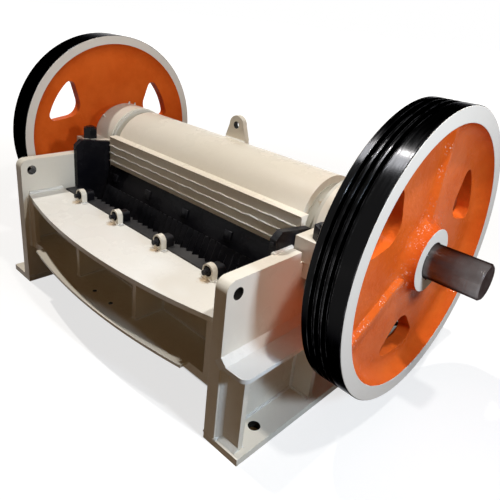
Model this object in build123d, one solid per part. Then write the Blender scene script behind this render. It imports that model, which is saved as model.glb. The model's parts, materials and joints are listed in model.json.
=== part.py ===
from build123d import *
import os
from math import cos, hypot, radians, sin

# Jaw crusher, sizes in millimetres.
# x runs along the shaft (+x is the grooved wheel), y runs to the back, z is up from the floor.
# The shaft axis is at y = 0 and the machine is centred on x = 0.

# Wheels and shaft
shaft_height = 466.0
wheel_diameter = 760.0
wheel_width = 104.0
wheel_gap = 46.0
rim_outer_wall = 40.0
rim_inner_wall = 31.0
rim_root_wall = 54.0
rim_step = 6.0
edge_bevel = 2.0
web_outer_recess = 35.0
web_inner_recess = 33.0
hub_fillet = 32.0
rim_round_share = 0.85
hub_radius = 82.0
hub_inboard = 20.0
hub_step = 4.0
groove_count = 3
groove_pitch = 18.0
groove_width = 15.0
groove_depth = 12.0
groove_flank = 3.5
groove_start = 17.0
spoke_width = 26.0
spoke_height = 12.0
spoke_root = 12.0
spoke_sink = 6.0
spoke_count = 3
first_spoke = 87.5
window_hub_gap = 70.0
window_rim_gap = 44.0
window_half_angle = 20.6
window_tip_round = 50.0
window_corner = 22.0
stub_radius = 46.0
stub_reach = 134.0
stub_bevel = 4.0
hub_seat_radius = 48.0
journal_radius = 60.0
journal_margin = 12.0
eccentric_radius = 72.0
eccentric_throw = 7.0
eccentric_margin = 26.0
key_width = 25.0
key_depth = 9.0
key_stand = 5.0
key_clearance = 0.5
key_inset = 6.0
key_recess = 3.0
keyway_reach = 60.0

# Side frames
inside_width = 954.0
plate_thickness = 36.0
frame_front = 473.0
plate_drop = 9.0
plate_corner = 26.0
seat_drop = 29.0
seat_margin = 8.0
rear_shoulder = 40.0
rear_top = 300.0
tie_hole_radius = 15.0
tie_hole_inset = 37.0
base_thickness = 20.0
base_overhang = 81.0
anchor_radius = 15.5
anchor_offset = 34.0
anchor_inset = 109.0
shelf_top = 248.0
shelf_thickness = 12.0
shelf_overhang = 79.0
shelf_corner = 20.0
left_shelf_setback = 46.0
gusset_thickness = 16.0
gusset_width = 64.0
gusset_inset = 18.0
gusset_inner_y = 178.0

# Front of the frame
top_plate_z = 338.0
top_plate_thickness = 14.0
top_plate_ends = 452.0
top_plate_bow = 61.0
wall_thickness = 30.0
wall_foot = 110.0
lower_rib_top = 167.0
lower_rib_thickness = 26.0
lower_rib_front = 455.0
bow_plate_thickness = 8.0
bow_plate_end_gap = 93.0
bow_plate_ends = 481.0
bow_plate_front = 516.0
drain_radius = 5.0
drain_x = 43.0
drain_inset = 7.0
stiffener_x = 150.0
stiffener_thickness = 15.0
end_plate_width = 37.0
end_plate_thickness = 16.0

# Jaws and liners
lug_end_gap = 155.0
lug_inner_x = 109.0
lug_width = 40.0
lug_thickness = 18.0
lug_inset = 12.0
lug_bolt_rise = 24.0
lug_bolt_radius = 7.0
lug_bolt_flats = 19.0
lug_bolt_head = 11.0
lug_stud_stand = 12.0
lug_recess_radius = 14.5
lug_recess_depth = 8.0
clamp_block_width = 36.0
clamp_block_depth = 26.0
clamp_block_height = 30.0
clamp_block_round = 9.0
fixed_jaw_rise = 5.0
fixed_jaw_foot = 116.0
fixed_jaw_gap = 25.0
jaw_thickness = 45.0
tooth_depth = 13.0
tooth_count = 34
cheek_thickness = 20.0
cheek_front_gap = 4.0
cheek_rise = 33.0
cheek_corner = 22.0
cheek_lift = 18.0
cheek_rear_drop = 130.0
cheek_foot_width = 45.0
gape = 140.0
barrel_lead = 11.0
discharge_gap = 22.0
swing_jaw_foot = 125.0
swing_side_gap = 10.0

# Main bearings
housing_radius = 132.0
housing_bore = 100.0
housing_gap = 1.0
housing_width = 104.0
foot_length = 80.0
foot_rise = 24.0
foot_margin = 3.0
pad_height = 44.0
pad_inset = 4.0
pad_gap = 6.0
cover_radius = 128.0
cover_thickness = 12.0
cover_hole = 66.0
bearing_width = 56.0
bolt_offset = 27.0
bolt_edge = 34.0
bolt_radius = 15.0
bolt_clearance = 1.0
bolt_flats = 46.0
nut_height = 37.0
stud_stand = 5.0

# Pitman
barrel_radius = 134.0
barrel_bore = 100.0
pitman_bearing_inset = 12.0
end_ring_gap = 6.0
end_ring_width = 30.0
end_ring_seat = 12.0
end_ring_flange = 3.0
end_ring_radius = 97.0
end_ring_hole = 78.0
end_ring_root = 11.0
end_ring_round = 14.0
guard_stand = 17.0
guard_back = 70.0
guard_rise = 54.0
guard_drop = 53.0
guard_side_gap = 8.0
guard_bead = 5.0
guard_bead_height = 6.0
guard_bead_drops = (33.0, 60.0, 89.0)
wedge_height = 70.0
wedge_lip = 4.0
wedge_step = 8.0
body_inset = 2.0
body_wall = 34.0
body_overlap = 6.0
wall_rise = 71.0
heel_run = 18.0
heel_drop = 38.0
sole_run = 36.0
sole_drop = 50.0
seat_low = 70.0
seat_high = 45.0
beam_rise = 70.0
beam_inner_rise = 40.0
rib_count = 5
rib_thickness = 30.0
rib_foot = 55.0
rib_head = 59.0
rib_front_angle = -80.0
rib_back_angle = -47.0
lug_plate_y = 42.0
lug_plate_thickness = 18.0
lug_plate_half = 45.0
lug_plate_shoulder = 22.0
lug_plate_sink = 20.0
lug_plate_rise = 42.0
lug_plate_round = 31.0
lug_eye_radius = 11.0

# Toggle and tension rod
toggle_setback = 167.0
toggle_front_z = 130.0
toggle_tilt = 14.3
toggle_reach = 345.0
toggle_gap = 13.0
toggle_thickness = 30.0
toggle_tip = 10.0
toggle_tip_half = 7.5
toggle_inset = 38.0
toggle_seat_depth = 25.0
toggle_seat_half = 28.0
toggle_hollow = 6.0
toggle_hollow_half = 10.0
toggle_block_half = 42.0
toggle_block_flare = 12.0
toggle_block_margin = 20.0
toggle_block_depth = 33.7
beam_thickness = 34.0
beam_foot = 134.0
beam_top = 336.0
rear_rib_width = 116.0
rear_rib_thickness = 20.0
rod_radius = 11.0
rod_z = 80.0
rod_hold = 44.0
rod_end_gap = 1.0
rod_tail = 18.0
bracket_offset = 50.0
bracket_thickness = 16.0
bracket_half = 60.0
bracket_foot = 48.0
bracket_clearance = 6.0
spring_radius = 31.0
spring_wire = 5.5
spring_length = 80.0
spring_turns = 5
nut_gap = 13.0
washer_radius = 36.0
washer_thickness = 9.0
rod_nut_flats = 34.0
rod_nut_height = 20.0

# Fits
fit = 0.03
running = 0.05

# Sizes that follow from the ones above
plate_in = inside_width / 2
plate_out = plate_in + plate_thickness
plate_top = shaft_height - plate_drop
seat_z = plate_top - seat_drop
foot_reach = housing_radius + foot_length
seat_reach = foot_reach + seat_margin
frame_rear = bow_plate_front
base_out = plate_out + base_overhang
shelf_out = plate_out + shelf_overhang
gusset_out = plate_out + gusset_width
gusset_outer_y = frame_front - gusset_inset
anchor_x = plate_out + anchor_offset
anchor_y = frame_front - anchor_inset
housing_inner = plate_in + housing_gap
housing_outer = housing_inner + housing_width
bolt_x = plate_out + bolt_offset
bolt_y = foot_reach - bolt_edge
foot_top = shaft_height + foot_rise
pad_under = seat_z - pad_height
wheel_radius = wheel_diameter / 2
wheel_inner_face = housing_outer + cover_thickness + wheel_gap
wheel_outer_face = wheel_inner_face + wheel_width
rim_root = wheel_radius - rim_root_wall
spoke_pitch = 360.0 / spoke_count
stub_end = wheel_outer_face + stub_reach
barrel_half = housing_inner - cover_thickness - end_ring_gap - end_ring_width
body_half = barrel_half - body_inset
toggle_half = body_half - toggle_inset
swing_half = plate_in - cheek_thickness - swing_side_gap
guard_half = plate_in - cheek_thickness - guard_side_gap
journal_start = barrel_half + eccentric_margin
journal_end = housing_outer + cover_thickness + journal_margin
pitman_z = shaft_height - eccentric_throw
guard_front = barrel_radius + guard_stand
guard_top = pitman_z + guard_rise
guard_foot = pitman_z - guard_drop
swing_jaw_top = guard_foot - wedge_height
fixed_tip = barrel_radius + barrel_lead + gape
top_plate_rear = fixed_tip + jaw_thickness
wall_front = top_plate_rear + wall_thickness
fixed_jaw_top = top_plate_z + fixed_jaw_rise
cheek_front = fixed_tip - cheek_front_gap
cheek_rear = barrel_radius + barrel_lead
cheek_top = plate_top + cheek_rise
lug_rear = -top_plate_rear - lug_inset + lug_thickness / 2
lug_front = lug_rear - lug_thickness
lug_floor = lug_front + lug_recess_depth
lug_bolt_z = top_plate_z + lug_bolt_rise
lug_plate_eye = pitman_z + barrel_radius + lug_plate_rise
lug_outer_x = plate_in - lug_end_gap
lug_places = (-lug_outer_x, -lug_inner_x, lug_inner_x, lug_outer_x)
key_start = wheel_inner_face - hub_inboard + key_inset
keyway_end = wheel_outer_face + keyway_reach
toggle_front_y = toggle_setback - fixed_tip
beam_front = toggle_front_y + toggle_reach * cos(radians(toggle_tilt)) + toggle_block_depth
beam_back = beam_front + beam_thickness
bracket_y = beam_front + bracket_offset
rod_front = toggle_front_y - rod_hold
spring_z = rod_z + eccentric_throw
bracket_hole = rod_radius + eccentric_throw + bracket_clearance
nut_face = bracket_y + bracket_thickness + spring_length + nut_gap
nut_end = nut_face + washer_thickness + rod_nut_height

# The swing jaw's tooth tips lie on a straight line in the y-z plane
jaw_slope = (gape - discharge_gap) / (guard_foot - swing_jaw_foot)
jaw_run = hypot(jaw_slope, 1.0)
up_y = jaw_slope / jaw_run
up_z = 1.0 / jaw_run


def tip_y(z):
    return -fixed_tip + discharge_gap + jaw_slope * (z - swing_jaw_foot)


def jaw_point(z, depth, rise=0.0):
    """Point in (y, z) behind the tip line at height z, moved up along the line by rise."""
    return (tip_y(z) + up_z * depth + up_y * rise, z - up_y * depth + up_z * rise)


def toggle_point(along, across):
    """Point in (y, z) measured along and across the toggle plate from its seat."""
    a = radians(toggle_tilt)
    y = toggle_front_y + along * cos(a) - across * sin(a)
    z = toggle_front_z + along * sin(a) + across * cos(a)
    return (y, z)


def barrel_point(angle):
    """Point in (y, z) half way through the barrel's wall."""
    a = radians(angle)
    r = (barrel_radius + barrel_bore) / 2
    return (r * cos(a), pitman_z + r * sin(a))


def block(x0, x1, y0, y1, z0, z1):
    middle = Pos((x0 + x1) / 2, (y0 + y1) / 2, (z0 + z1) / 2)
    return middle * Box(x1 - x0, y1 - y0, z1 - z0)


def prism_x(points, x0, x1):
    """A (y, z) outline pushed along x."""
    face = make_face(Polyline(*points, close=True))
    return extrude(Plane.YZ.offset(x0) * face, amount=x1 - x0)


def prism_z(points, z0, z1):
    """An (x, y) outline pushed up along z."""
    face = make_face(Polyline(*points, close=True))
    return extrude(Plane.XY.offset(z0) * face, amount=z1 - z0)


def rod_x(radius, x0, x1, y=0.0, z=shaft_height):
    return extrude(Plane.YZ.offset(x0) * Pos(y, z) * Circle(radius), amount=x1 - x0)


def rod_y(radius, y0, y1, x, z):
    return Pos(x, (y0 + y1) / 2, z) * Rot(90, 0, 0) * Cylinder(radius, y1 - y0)


def rod_z_axis(radius, z0, z1, x, y):
    return Pos(x, y, (z0 + z1) / 2) * Cylinder(radius, z1 - z0)


def ring_x(outer, inner, x0, x1, z=shaft_height):
    return rod_x(outer, x0, x1, 0.0, z) - rod_x(inner, x0, x1, 0.0, z)


def turned(points):
    """An (x, radius) outline turned about the shaft axis."""
    face = make_face(Polyline(*[(x, shaft_height + r) for x, r in points], close=True))
    return revolve(Plane.XZ * face, axis=Axis((0, 0, shaft_height), (1, 0, 0)))


def circles_at(shape, x, radius):
    """Circular edges about an axis along x, with this radius and place."""
    found = []
    for edge in shape.edges().filter_by(GeomType.CIRCLE):
        if abs(edge.radius - radius) < 0.01 and abs(edge.arc_center.X - x) < 0.01:
            found.append(edge)
    return found


def hexagon(flats, height):
    """Six-sided head standing on z = 0."""
    return extrude(RegularPolygon(flats / 2, 6, major_radius=False), amount=height)


def mirrored(shape):
    return mirror(shape, about=Plane.YZ)


def both_sides(shape):
    return Compound(children=[*shape.solids(), *mirrored(shape).solids()])


def group(*shapes):
    solids = []
    for shape in shapes:
        solids.extend(shape.solids())
    return Compound(children=solids)


def bowed_plate(half, rear, ends, bow, z0, z1):
    """A plate with a straight back and a front edge that bows forward, towards -y."""
    steps = 8
    points = []
    for i in range(steps + 1):
        x = -half + 2 * half * i / steps
        points.append((x, -(ends + bow * (1 - (x / half) ** 2))))
    sides = Polyline((half, -ends), (half, -rear), (-half, -rear), (-half, -ends))
    return extrude(Plane.XY.offset(z0) * make_face(Spline(*points) + sides), amount=z1 - z0)


def toothed(width, thickness, shift):
    """Jaw section in its own plane: teeth at local y = 0, back at y = thickness."""
    pitch = width / tooth_count
    half = width / 2
    valley = tooth_depth if shift else 0.0
    peak = 0.0 if shift else tooth_depth
    points = [(-half, thickness)]
    for i in range(tooth_count):
        left = -half + i * pitch
        points += [(left, valley), (left + pitch / 2, peak)]
    points += [(half, valley), (half, thickness)]
    return make_face(Polyline(*points, close=True))


# Frame
def side_plate():
    outline = [
        (-frame_front, base_thickness),
        (-frame_front, plate_top),
        (-seat_reach, plate_top),
        (-seat_reach, seat_z),
        (seat_reach, seat_z),
        (seat_reach, plate_top),
        (seat_reach + rear_shoulder, plate_top),
        (frame_rear, rear_top),
        (frame_rear, base_thickness),
    ]
    plate = prism_x(outline, plate_in, plate_out)
    corner = plate.edges().filter_by(Axis.X).sort_by(Axis.Y)[:2].sort_by(Axis.Z)[-1]
    plate = fillet(corner, plate_corner)
    plate -= rod_x(housing_radius + housing_gap, plate_in, plate_out)
    hole_y = -frame_front + tie_hole_inset
    hole_z = plate_top - tie_hole_inset
    return plate - rod_x(tie_hole_radius, plate_in, plate_out, hole_y, hole_z)


def base_flange():
    flange = block(plate_in, base_out, -frame_front, frame_rear, 0, base_thickness)
    for y in (-anchor_y, anchor_y):
        flange -= rod_z_axis(anchor_radius, 0, base_thickness, anchor_x, y)
    return flange


def side_shelf(setback=0.0):
    y0, z0 = -frame_front + setback, shelf_top - shelf_thickness
    shelf = block(plate_out, shelf_out, y0, frame_rear, z0, shelf_top)
    return fillet(shelf.edges().filter_by(Axis.Z).sort_by(Axis.X)[-2:], shelf_corner)


def side_gussets(setback=0.0):
    z0, z1 = base_thickness, shelf_top - shelf_thickness
    x0, x1 = plate_out, gusset_out
    t = gusset_thickness
    fronts = (-gusset_outer_y + setback, -gusset_inner_y)
    plates = [block(x0, x1, y, y + t, z0, z1) for y in fronts]
    plates += [block(x0, x1, y - t, y, z0, z1) for y in (gusset_inner_y, gusset_outer_y)]
    return group(*plates)


def front_wall():
    top = top_plate_z - top_plate_thickness
    return block(-plate_in, plate_in, -wall_front, -top_plate_rear, wall_foot, top)


def front_top_plate():
    z0 = top_plate_z - top_plate_thickness
    return bowed_plate(plate_in, top_plate_rear, top_plate_ends, top_plate_bow, z0, top_plate_z)


def front_lower_rib():
    z0 = lower_rib_top - lower_rib_thickness
    return block(-plate_in, plate_in, -lower_rib_front, -wall_front, z0, lower_rib_top)


def front_bow_plate():
    half = plate_in - bow_plate_end_gap
    bow = bow_plate_front - bow_plate_ends
    z0, z1 = lower_rib_top - bow_plate_thickness, lower_rib_top
    plate = bowed_plate(half, lower_rib_front, bow_plate_ends, bow, z0, z1)
    for x in (-drain_x, drain_x):
        plate -= rod_z_axis(drain_radius, z0, z1, x, -lower_rib_front - drain_inset)
    return plate


def front_stiffeners():
    z1 = top_plate_z - top_plate_thickness
    half = stiffener_thickness / 2
    x0, x1 = stiffener_x - half, stiffener_x + half
    return both_sides(block(x0, x1, -lower_rib_front, -wall_front, lower_rib_top, z1))


def front_end_plates():
    z1 = top_plate_z - top_plate_thickness
    y0, y1 = -lower_rib_front, -lower_rib_front + end_plate_thickness
    return both_sides(block(plate_in - end_plate_width, plate_in, y0, y1, lower_rib_top, z1))


def jaw_clamp_lugs():
    half = lug_width / 2
    lugs = []
    for x in lug_places:
        lug = block(x - half, x + half, lug_front, lug_rear, top_plate_z, lug_bolt_z)
        lug += rod_y(half, lug_front, lug_rear, x, lug_bolt_z)
        lug -= rod_y(lug_bolt_radius + bolt_clearance, lug_front, lug_rear, x, lug_bolt_z)
        lug -= rod_y(lug_recess_radius, lug_front, lug_floor, x, lug_bolt_z)
        lugs.append(lug)
    return group(*lugs)


def jaw_clamp_bolts():
    bolts = []
    end = lug_floor - lug_bolt_head - lug_stud_stand
    for x in lug_places:
        nut = Pos(x, lug_floor, lug_bolt_z) * Rot(90, 0, 0) * hexagon(lug_bolt_flats, lug_bolt_head)
        bolts.append(nut + rod_y(lug_bolt_radius, end, -top_plate_rear, x, lug_bolt_z))
    return group(*bolts)


def jaw_clamp_blocks():
    half = clamp_block_width / 2
    y0, y1 = -top_plate_rear, -top_plate_rear + clamp_block_depth
    z0, z1 = fixed_jaw_top, fixed_jaw_top + clamp_block_height
    blocks = []
    for x in lug_places:
        piece = block(x - half, x + half, y0, y1, z0, z1)
        blocks.append(fillet(piece.edges().filter_by(Axis.Y).group_by(Axis.Z)[-1], clamp_block_round))
    return group(*blocks)


def fixed_jaw_plate():
    width = inside_width - 2 * fixed_jaw_gap
    plane = Plane(origin=(0, -fixed_tip, fixed_jaw_foot), x_dir=(-1, 0, 0), z_dir=(0, 0, 1))
    return extrude(plane * toothed(width, jaw_thickness, False), amount=fixed_jaw_top - fixed_jaw_foot)


def cheek_plate():
    outline = [
        (-cheek_front, fixed_jaw_foot),
        (-cheek_front, cheek_top),
        (-cheek_front + cheek_corner, cheek_top + cheek_lift),
        (-cheek_rear, cheek_top),
        (-cheek_rear, plate_top - cheek_rear_drop),
        (-cheek_front + cheek_foot_width, fixed_jaw_foot),
    ]
    return prism_x(outline, plate_in - cheek_thickness, plate_in)


# Main bearings
def bearing_housing():
    x0, x1 = housing_inner + foot_margin, housing_outer - foot_margin
    body = rod_x(housing_radius, housing_inner, housing_outer)
    body += block(x0, x1, -foot_reach, foot_reach, seat_z, foot_top)
    body -= rod_x(housing_bore, housing_inner, housing_outer)
    for y in (-bolt_y, bolt_y):
        body -= rod_z_axis(bolt_radius + bolt_clearance, seat_z, foot_top, bolt_x, y)
    return body


def bearing_pads():
    y0, y1 = -foot_reach + pad_inset, -housing_radius - pad_gap
    pad = block(plate_out, housing_outer - foot_margin, y0, y1, pad_under, seat_z)
    pad -= rod_z_axis(bolt_radius + bolt_clearance, pad_under, seat_z, bolt_x, -bolt_y)
    return both_sides(group(pad, mirror(pad, about=Plane.XZ)))


def bearing_covers():
    inner = ring_x(cover_radius, cover_hole, housing_inner - cover_thickness, housing_inner)
    outer = ring_x(cover_radius, cover_hole, housing_outer, housing_outer + cover_thickness)
    return both_sides(group(inner, outer))


def main_bearings():
    middle = (housing_inner + housing_outer) / 2
    x0, x1 = middle - bearing_width / 2, middle + bearing_width / 2
    return both_sides(ring_x(housing_bore - fit, journal_radius + running, x0, x1))


def bearing_bolts():
    bolts = []
    nut = Rot(0, 0, 30) * hexagon(bolt_flats, nut_height)
    low = pad_under - nut_height
    for y in (-bolt_y, bolt_y):
        bolt = rod_z_axis(bolt_radius, low, foot_top + nut_height + stud_stand, bolt_x, y)
        bolts.append(bolt + Pos(bolt_x, y, foot_top) * nut + Pos(bolt_x, y, low) * nut)
    return both_sides(group(*bolts))


# Rotor
def wheel_body(grooves):
    x0, x1 = wheel_inner_face, wheel_outer_face
    web0, web1 = x0 + web_inner_recess, x1 - web_outer_recess
    r, b = wheel_radius, edge_bevel
    bore = hub_seat_radius + fit
    points = [
        (x0 - hub_inboard, bore),
        (x1, bore),
        (x1, hub_radius),
        (web1, hub_radius + hub_step),
        (web1, rim_root),
        (x1, r - rim_outer_wall),
        (x1, r - b),
        (x1 - b, r),
    ]
    for i in reversed(range(grooves)):
        left = x0 + groove_start + i * groove_pitch
        points += [
            (left + groove_width, r),
            (left + groove_width - groove_flank, r - groove_depth),
            (left + groove_flank, r - groove_depth),
            (left, r),
        ]
    points += [
        (x0 + b, r),
        (x0, r - b),
        (x0, r - rim_inner_wall),
        (web0, rim_root),
        (web0, hub_radius + hub_step),
        (x0 - hub_inboard, hub_radius),
    ]
    wheel = turned(points)
    inner, outer = (web_inner_recess, rim_inner_wall), (web_outer_recess, rim_outer_wall)
    for x, (depth, wall) in ((web0, inner), (web1, outer)):
        wheel = fillet(circles_at(wheel, x, hub_radius + hub_step), hub_fillet)
        wheel = fillet(circles_at(wheel, x, rim_root), rim_round(depth, rim_root_wall - wall))
    return wheel


def rim_round(depth, rise):
    """Radius of the fillet that takes most of the sloping wall between web and rim."""
    wall = hypot(depth, rise)
    return rim_round_share * wall * (wall + rise) / depth


def wheel_spoke():
    """A ridge along local x with sloping flanks and a rounded top."""
    top, base = spoke_width / 2 - spoke_sink, spoke_width / 2 + spoke_sink
    left = [(-base, -spoke_sink), (-base, 0), (-top, spoke_height)]
    outline = left + [(-x, z) for x, z in reversed(left)]
    face = make_face(Polyline(*outline, close=True))
    upper = face.vertices().sort_by(Axis.Y)[-2:]
    start, end = hub_radius - spoke_root, rim_root + rim_step
    return extrude(Plane.YZ.offset(start) * fillet(upper, spoke_sink), amount=end - start)


def wheel_window():
    """A three-cornered window along local x, with its outer side round the axis."""
    a = radians(window_half_angle)
    outer = rim_root - window_rim_gap
    tip = (hub_radius + window_hub_gap, 0.0)
    left, right = (outer * cos(a), outer * sin(a)), (outer * cos(a), -outer * sin(a))
    sides = Polyline(right, tip, left)
    face = make_face(sides + ThreePointArc(left, (outer, 0.0), right))
    face = fillet(face.vertices().sort_by(Axis.X)[:1], window_tip_round)
    return fillet(face.vertices().sort_by(Axis.X)[-2:], window_corner)


def flywheel(grooves):
    wheel = wheel_body(grooves)
    web = Plane.YZ.offset(wheel_outer_face - web_outer_recess) * Pos(0, shaft_height)
    for i in range(spoke_count):
        wheel += web * Rot(0, 0, first_spoke + i * spoke_pitch) * wheel_spoke()
    side = Plane.YZ.offset(wheel_inner_face) * Pos(0, shaft_height)
    for i in range(spoke_count):
        between = Rot(0, 0, first_spoke + (i + 0.5) * spoke_pitch)
        wheel -= extrude(side * between * wheel_window(), amount=wheel_width)
    slot_z = shaft_height - hub_seat_radius - key_stand - key_clearance
    half = key_width / 2
    x0, x1 = wheel_inner_face - hub_inboard, wheel_outer_face
    return wheel - block(x0, x1, -half, half, slot_z, shaft_height)


def eccentric_shaft():
    c = stub_bevel
    s, h, j = stub_radius, hub_seat_radius, journal_radius
    right = [(journal_end, j), (journal_end, h), (wheel_outer_face, h), (wheel_outer_face, s)]
    right += [(stub_end - c, s), (stub_end, s - c), (stub_end, 0)]
    left = [(-x, r) for x, r in reversed(right)]
    shaft = turned(left + right)
    shaft += rod_x(eccentric_radius, -journal_start, journal_start, 0.0, pitman_z)
    floor = shaft_height - hub_seat_radius + key_depth
    half = key_width / 2
    slot = block(key_start, keyway_end, -half, half, shaft_height - hub_seat_radius - key_stand, floor)
    return shaft - slot - mirrored(slot)


def wheel_keys():
    half = key_width / 2 - fit
    z0 = shaft_height - hub_seat_radius - key_stand
    z1 = shaft_height - hub_seat_radius + key_depth - fit
    return both_sides(block(key_start + fit, wheel_outer_face - key_recess, -half, half, z0, z1))


# Pitman
def pitman_casting():
    body = rod_x(barrel_radius, -barrel_half, barrel_half, 0.0, pitman_z)
    back = jaw_thickness + body_wall
    sunk = back - body_overlap
    wall = [
        jaw_point(swing_jaw_top, jaw_thickness, wall_rise),
        jaw_point(swing_jaw_foot, jaw_thickness),
        jaw_point(swing_jaw_foot, back),
        jaw_point(swing_jaw_top, back, wall_rise),
    ]
    body += prism_x(wall, -body_half, body_half)
    low_y, low_z = jaw_point(swing_jaw_foot, jaw_thickness)
    beam = [
        (low_y, low_z),
        (low_y + heel_run, low_z - heel_drop),
        (low_y + sole_run, low_z - sole_drop),
        toggle_point(-toggle_seat_depth, -seat_low),
        toggle_point(-toggle_seat_depth, seat_high),
        jaw_point(swing_jaw_foot + beam_rise, sunk),
        jaw_point(swing_jaw_foot + beam_inner_rise, jaw_thickness + body_overlap),
    ]
    body += prism_x(beam, -body_half, body_half)
    rib = [
        jaw_point(swing_jaw_foot + rib_foot, sunk),
        jaw_point(swing_jaw_top, sunk, rib_head),
        barrel_point(rib_front_angle),
        barrel_point(rib_back_angle),
        toggle_point(-toggle_seat_depth, seat_high - body_overlap),
    ]
    pitch = (2 * body_half - rib_thickness) / (rib_count - 1)
    for i in range(rib_count):
        x = -body_half + i * pitch
        body += prism_x(rib, x, x + rib_thickness)
    body -= rod_x(barrel_bore, -barrel_half, barrel_half, 0.0, pitman_z)
    return body - rod_y(rod_radius + fit, rod_front, 0.0, 0.0, rod_z)


def pitman_bearings():
    x1 = barrel_half - pitman_bearing_inset
    ring = ring_x(barrel_bore - fit, eccentric_radius + running, x1 - bearing_width, x1, pitman_z)
    return both_sides(ring)


def pitman_end_rings():
    x0, x1 = barrel_half, barrel_half + end_ring_width
    step = x0 + end_ring_flange
    ring = ring_x(barrel_bore + end_ring_seat, end_ring_hole, x0, step, pitman_z)
    ring += ring_x(end_ring_radius, end_ring_hole, step, x1, pitman_z)
    ring = fillet(circles_at(ring, step, end_ring_radius), end_ring_root)
    return both_sides(fillet(circles_at(ring, x1, end_ring_radius), end_ring_round))


def pitman_guard():
    y, b = -guard_front, guard_bead
    outline = [(-guard_back, guard_top), (y - b, guard_top), (y, guard_top - guard_bead_height)]
    for drop in guard_bead_drops:
        z = guard_top - drop
        outline += [(y, z), (y - b, z), (y, z - guard_bead_height)]
    outline += [(y, guard_foot), (-guard_back, guard_foot)]
    guard = prism_x(outline, -guard_half, guard_half)
    return guard - rod_x(barrel_radius, -guard_half, guard_half, 0.0, pitman_z)


def swing_jaw_plate():
    origin = (0, tip_y(swing_jaw_foot), swing_jaw_foot)
    plane = Plane(origin=origin, x_dir=(1, 0, 0), z_dir=(0, up_y, up_z))
    length = (swing_jaw_top - swing_jaw_foot) / up_z
    return extrude(plane * toothed(2 * swing_half, jaw_thickness, True), amount=length)


def swing_jaw_wedge():
    outline = [
        (tip_y(guard_foot) - wedge_lip, guard_foot),
        jaw_point(swing_jaw_top, wedge_step),
        jaw_point(swing_jaw_top, jaw_thickness),
        (-guard_back, swing_jaw_top),
        (-guard_back, guard_foot),
    ]
    wedge = prism_x(outline, -swing_half, swing_half)
    wall = [
        jaw_point(swing_jaw_top, jaw_thickness, -body_wall),
        jaw_point(swing_jaw_top, jaw_thickness, 2 * wall_rise),
        (0.0, guard_foot),
        (0.0, swing_jaw_foot),
    ]
    wedge -= prism_x(wall, -swing_half, swing_half)
    return wedge - rod_x(barrel_radius, -swing_half, swing_half, 0.0, pitman_z)


def lifting_lug():
    foot = pitman_z + barrel_radius - lug_plate_sink
    shoulder = foot + lug_plate_shoulder
    a, h = lug_plate_round, lug_plate_half
    right = [(h, foot), (h, shoulder), (a, lug_plate_eye)]
    outline = right + [(-x, z) for x, z in reversed(right)]
    face = make_face(Polyline(*outline, close=True))
    y1 = lug_plate_y + lug_plate_thickness
    plate = extrude(Plane.XZ.offset(-y1) * face, amount=lug_plate_thickness)
    plate += rod_y(a, lug_plate_y, y1, 0.0, lug_plate_eye)
    plate -= rod_y(lug_eye_radius, lug_plate_y, y1, 0.0, lug_plate_eye)
    return plate - rod_x(barrel_radius, -h, h, 0.0, pitman_z)


def toggle_seat():
    half = toggle_seat_half
    outline = [
        toggle_point(-toggle_seat_depth, -half),
        toggle_point(0.0, -half),
        toggle_point(-toggle_hollow, -toggle_hollow_half),
        toggle_point(-toggle_hollow, toggle_hollow_half),
        toggle_point(0.0, half),
        toggle_point(-toggle_seat_depth, half),
    ]
    return prism_x(outline, -toggle_half, toggle_half)


# Rear of the frame
def toggle_plate():
    half = toggle_thickness / 2
    shoulder = toggle_gap + toggle_tip
    outline = [
        toggle_point(toggle_gap, -toggle_tip_half),
        toggle_point(shoulder, -half),
        toggle_point(toggle_reach, -half),
        toggle_point(toggle_reach, half),
        toggle_point(shoulder, half),
        toggle_point(toggle_gap, toggle_tip_half),
    ]
    return prism_x(outline, -toggle_half, toggle_half)


def toggle_block():
    low = toggle_point(toggle_reach, -toggle_block_half)
    high = toggle_point(toggle_reach, toggle_block_half)
    top = (beam_front, high[1] + toggle_block_flare)
    bottom = (beam_front, low[1] - toggle_block_flare)
    half = toggle_half + toggle_block_margin
    return prism_x([low, high, top, bottom], -half, half)


def rear_beam():
    return block(-plate_in, plate_in, beam_front, beam_back, beam_foot, beam_top)


def rear_ribs():
    y0, y1 = beam_back, beam_back + rear_rib_width
    t = rear_rib_thickness
    low = block(-plate_in, plate_in, y0, y1, beam_foot, beam_foot + t)
    high = block(-plate_in, plate_in, y0, y1, beam_top - t, beam_top)
    return group(low, high)


def spring_bracket():
    y1 = bracket_y + bracket_thickness
    plate = block(-bracket_half, bracket_half, bracket_y, y1, bracket_foot, beam_foot)
    return plate - rod_y(bracket_hole, bracket_y, y1, 0.0, spring_z)


def tension_spring():
    wire = spring_wire
    height = spring_length - 2 * wire
    path = Helix(pitch=height / spring_turns, height=height, radius=spring_radius)
    section = Plane(origin=path @ 0, z_dir=path % 0) * Circle(wire)
    coil = sweep(section, path=path)
    return Pos(0, bracket_y + bracket_thickness + wire, spring_z) * Rot(-90, 0, 0) * coil


def tension_rod():
    return rod_y(rod_radius, rod_front + rod_end_gap, nut_end + rod_tail, 0.0, rod_z)


def tension_rod_nut():
    washer = rod_y(washer_radius, nut_face, nut_face + washer_thickness, 0.0, rod_z)
    nut = Pos(0, nut_end, rod_z) * Rot(90, 0, 0) * hexagon(rod_nut_flats, rod_nut_height)
    return washer + nut - rod_y(rod_radius + fit, nut_face, nut_end, 0.0, rod_z)


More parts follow.
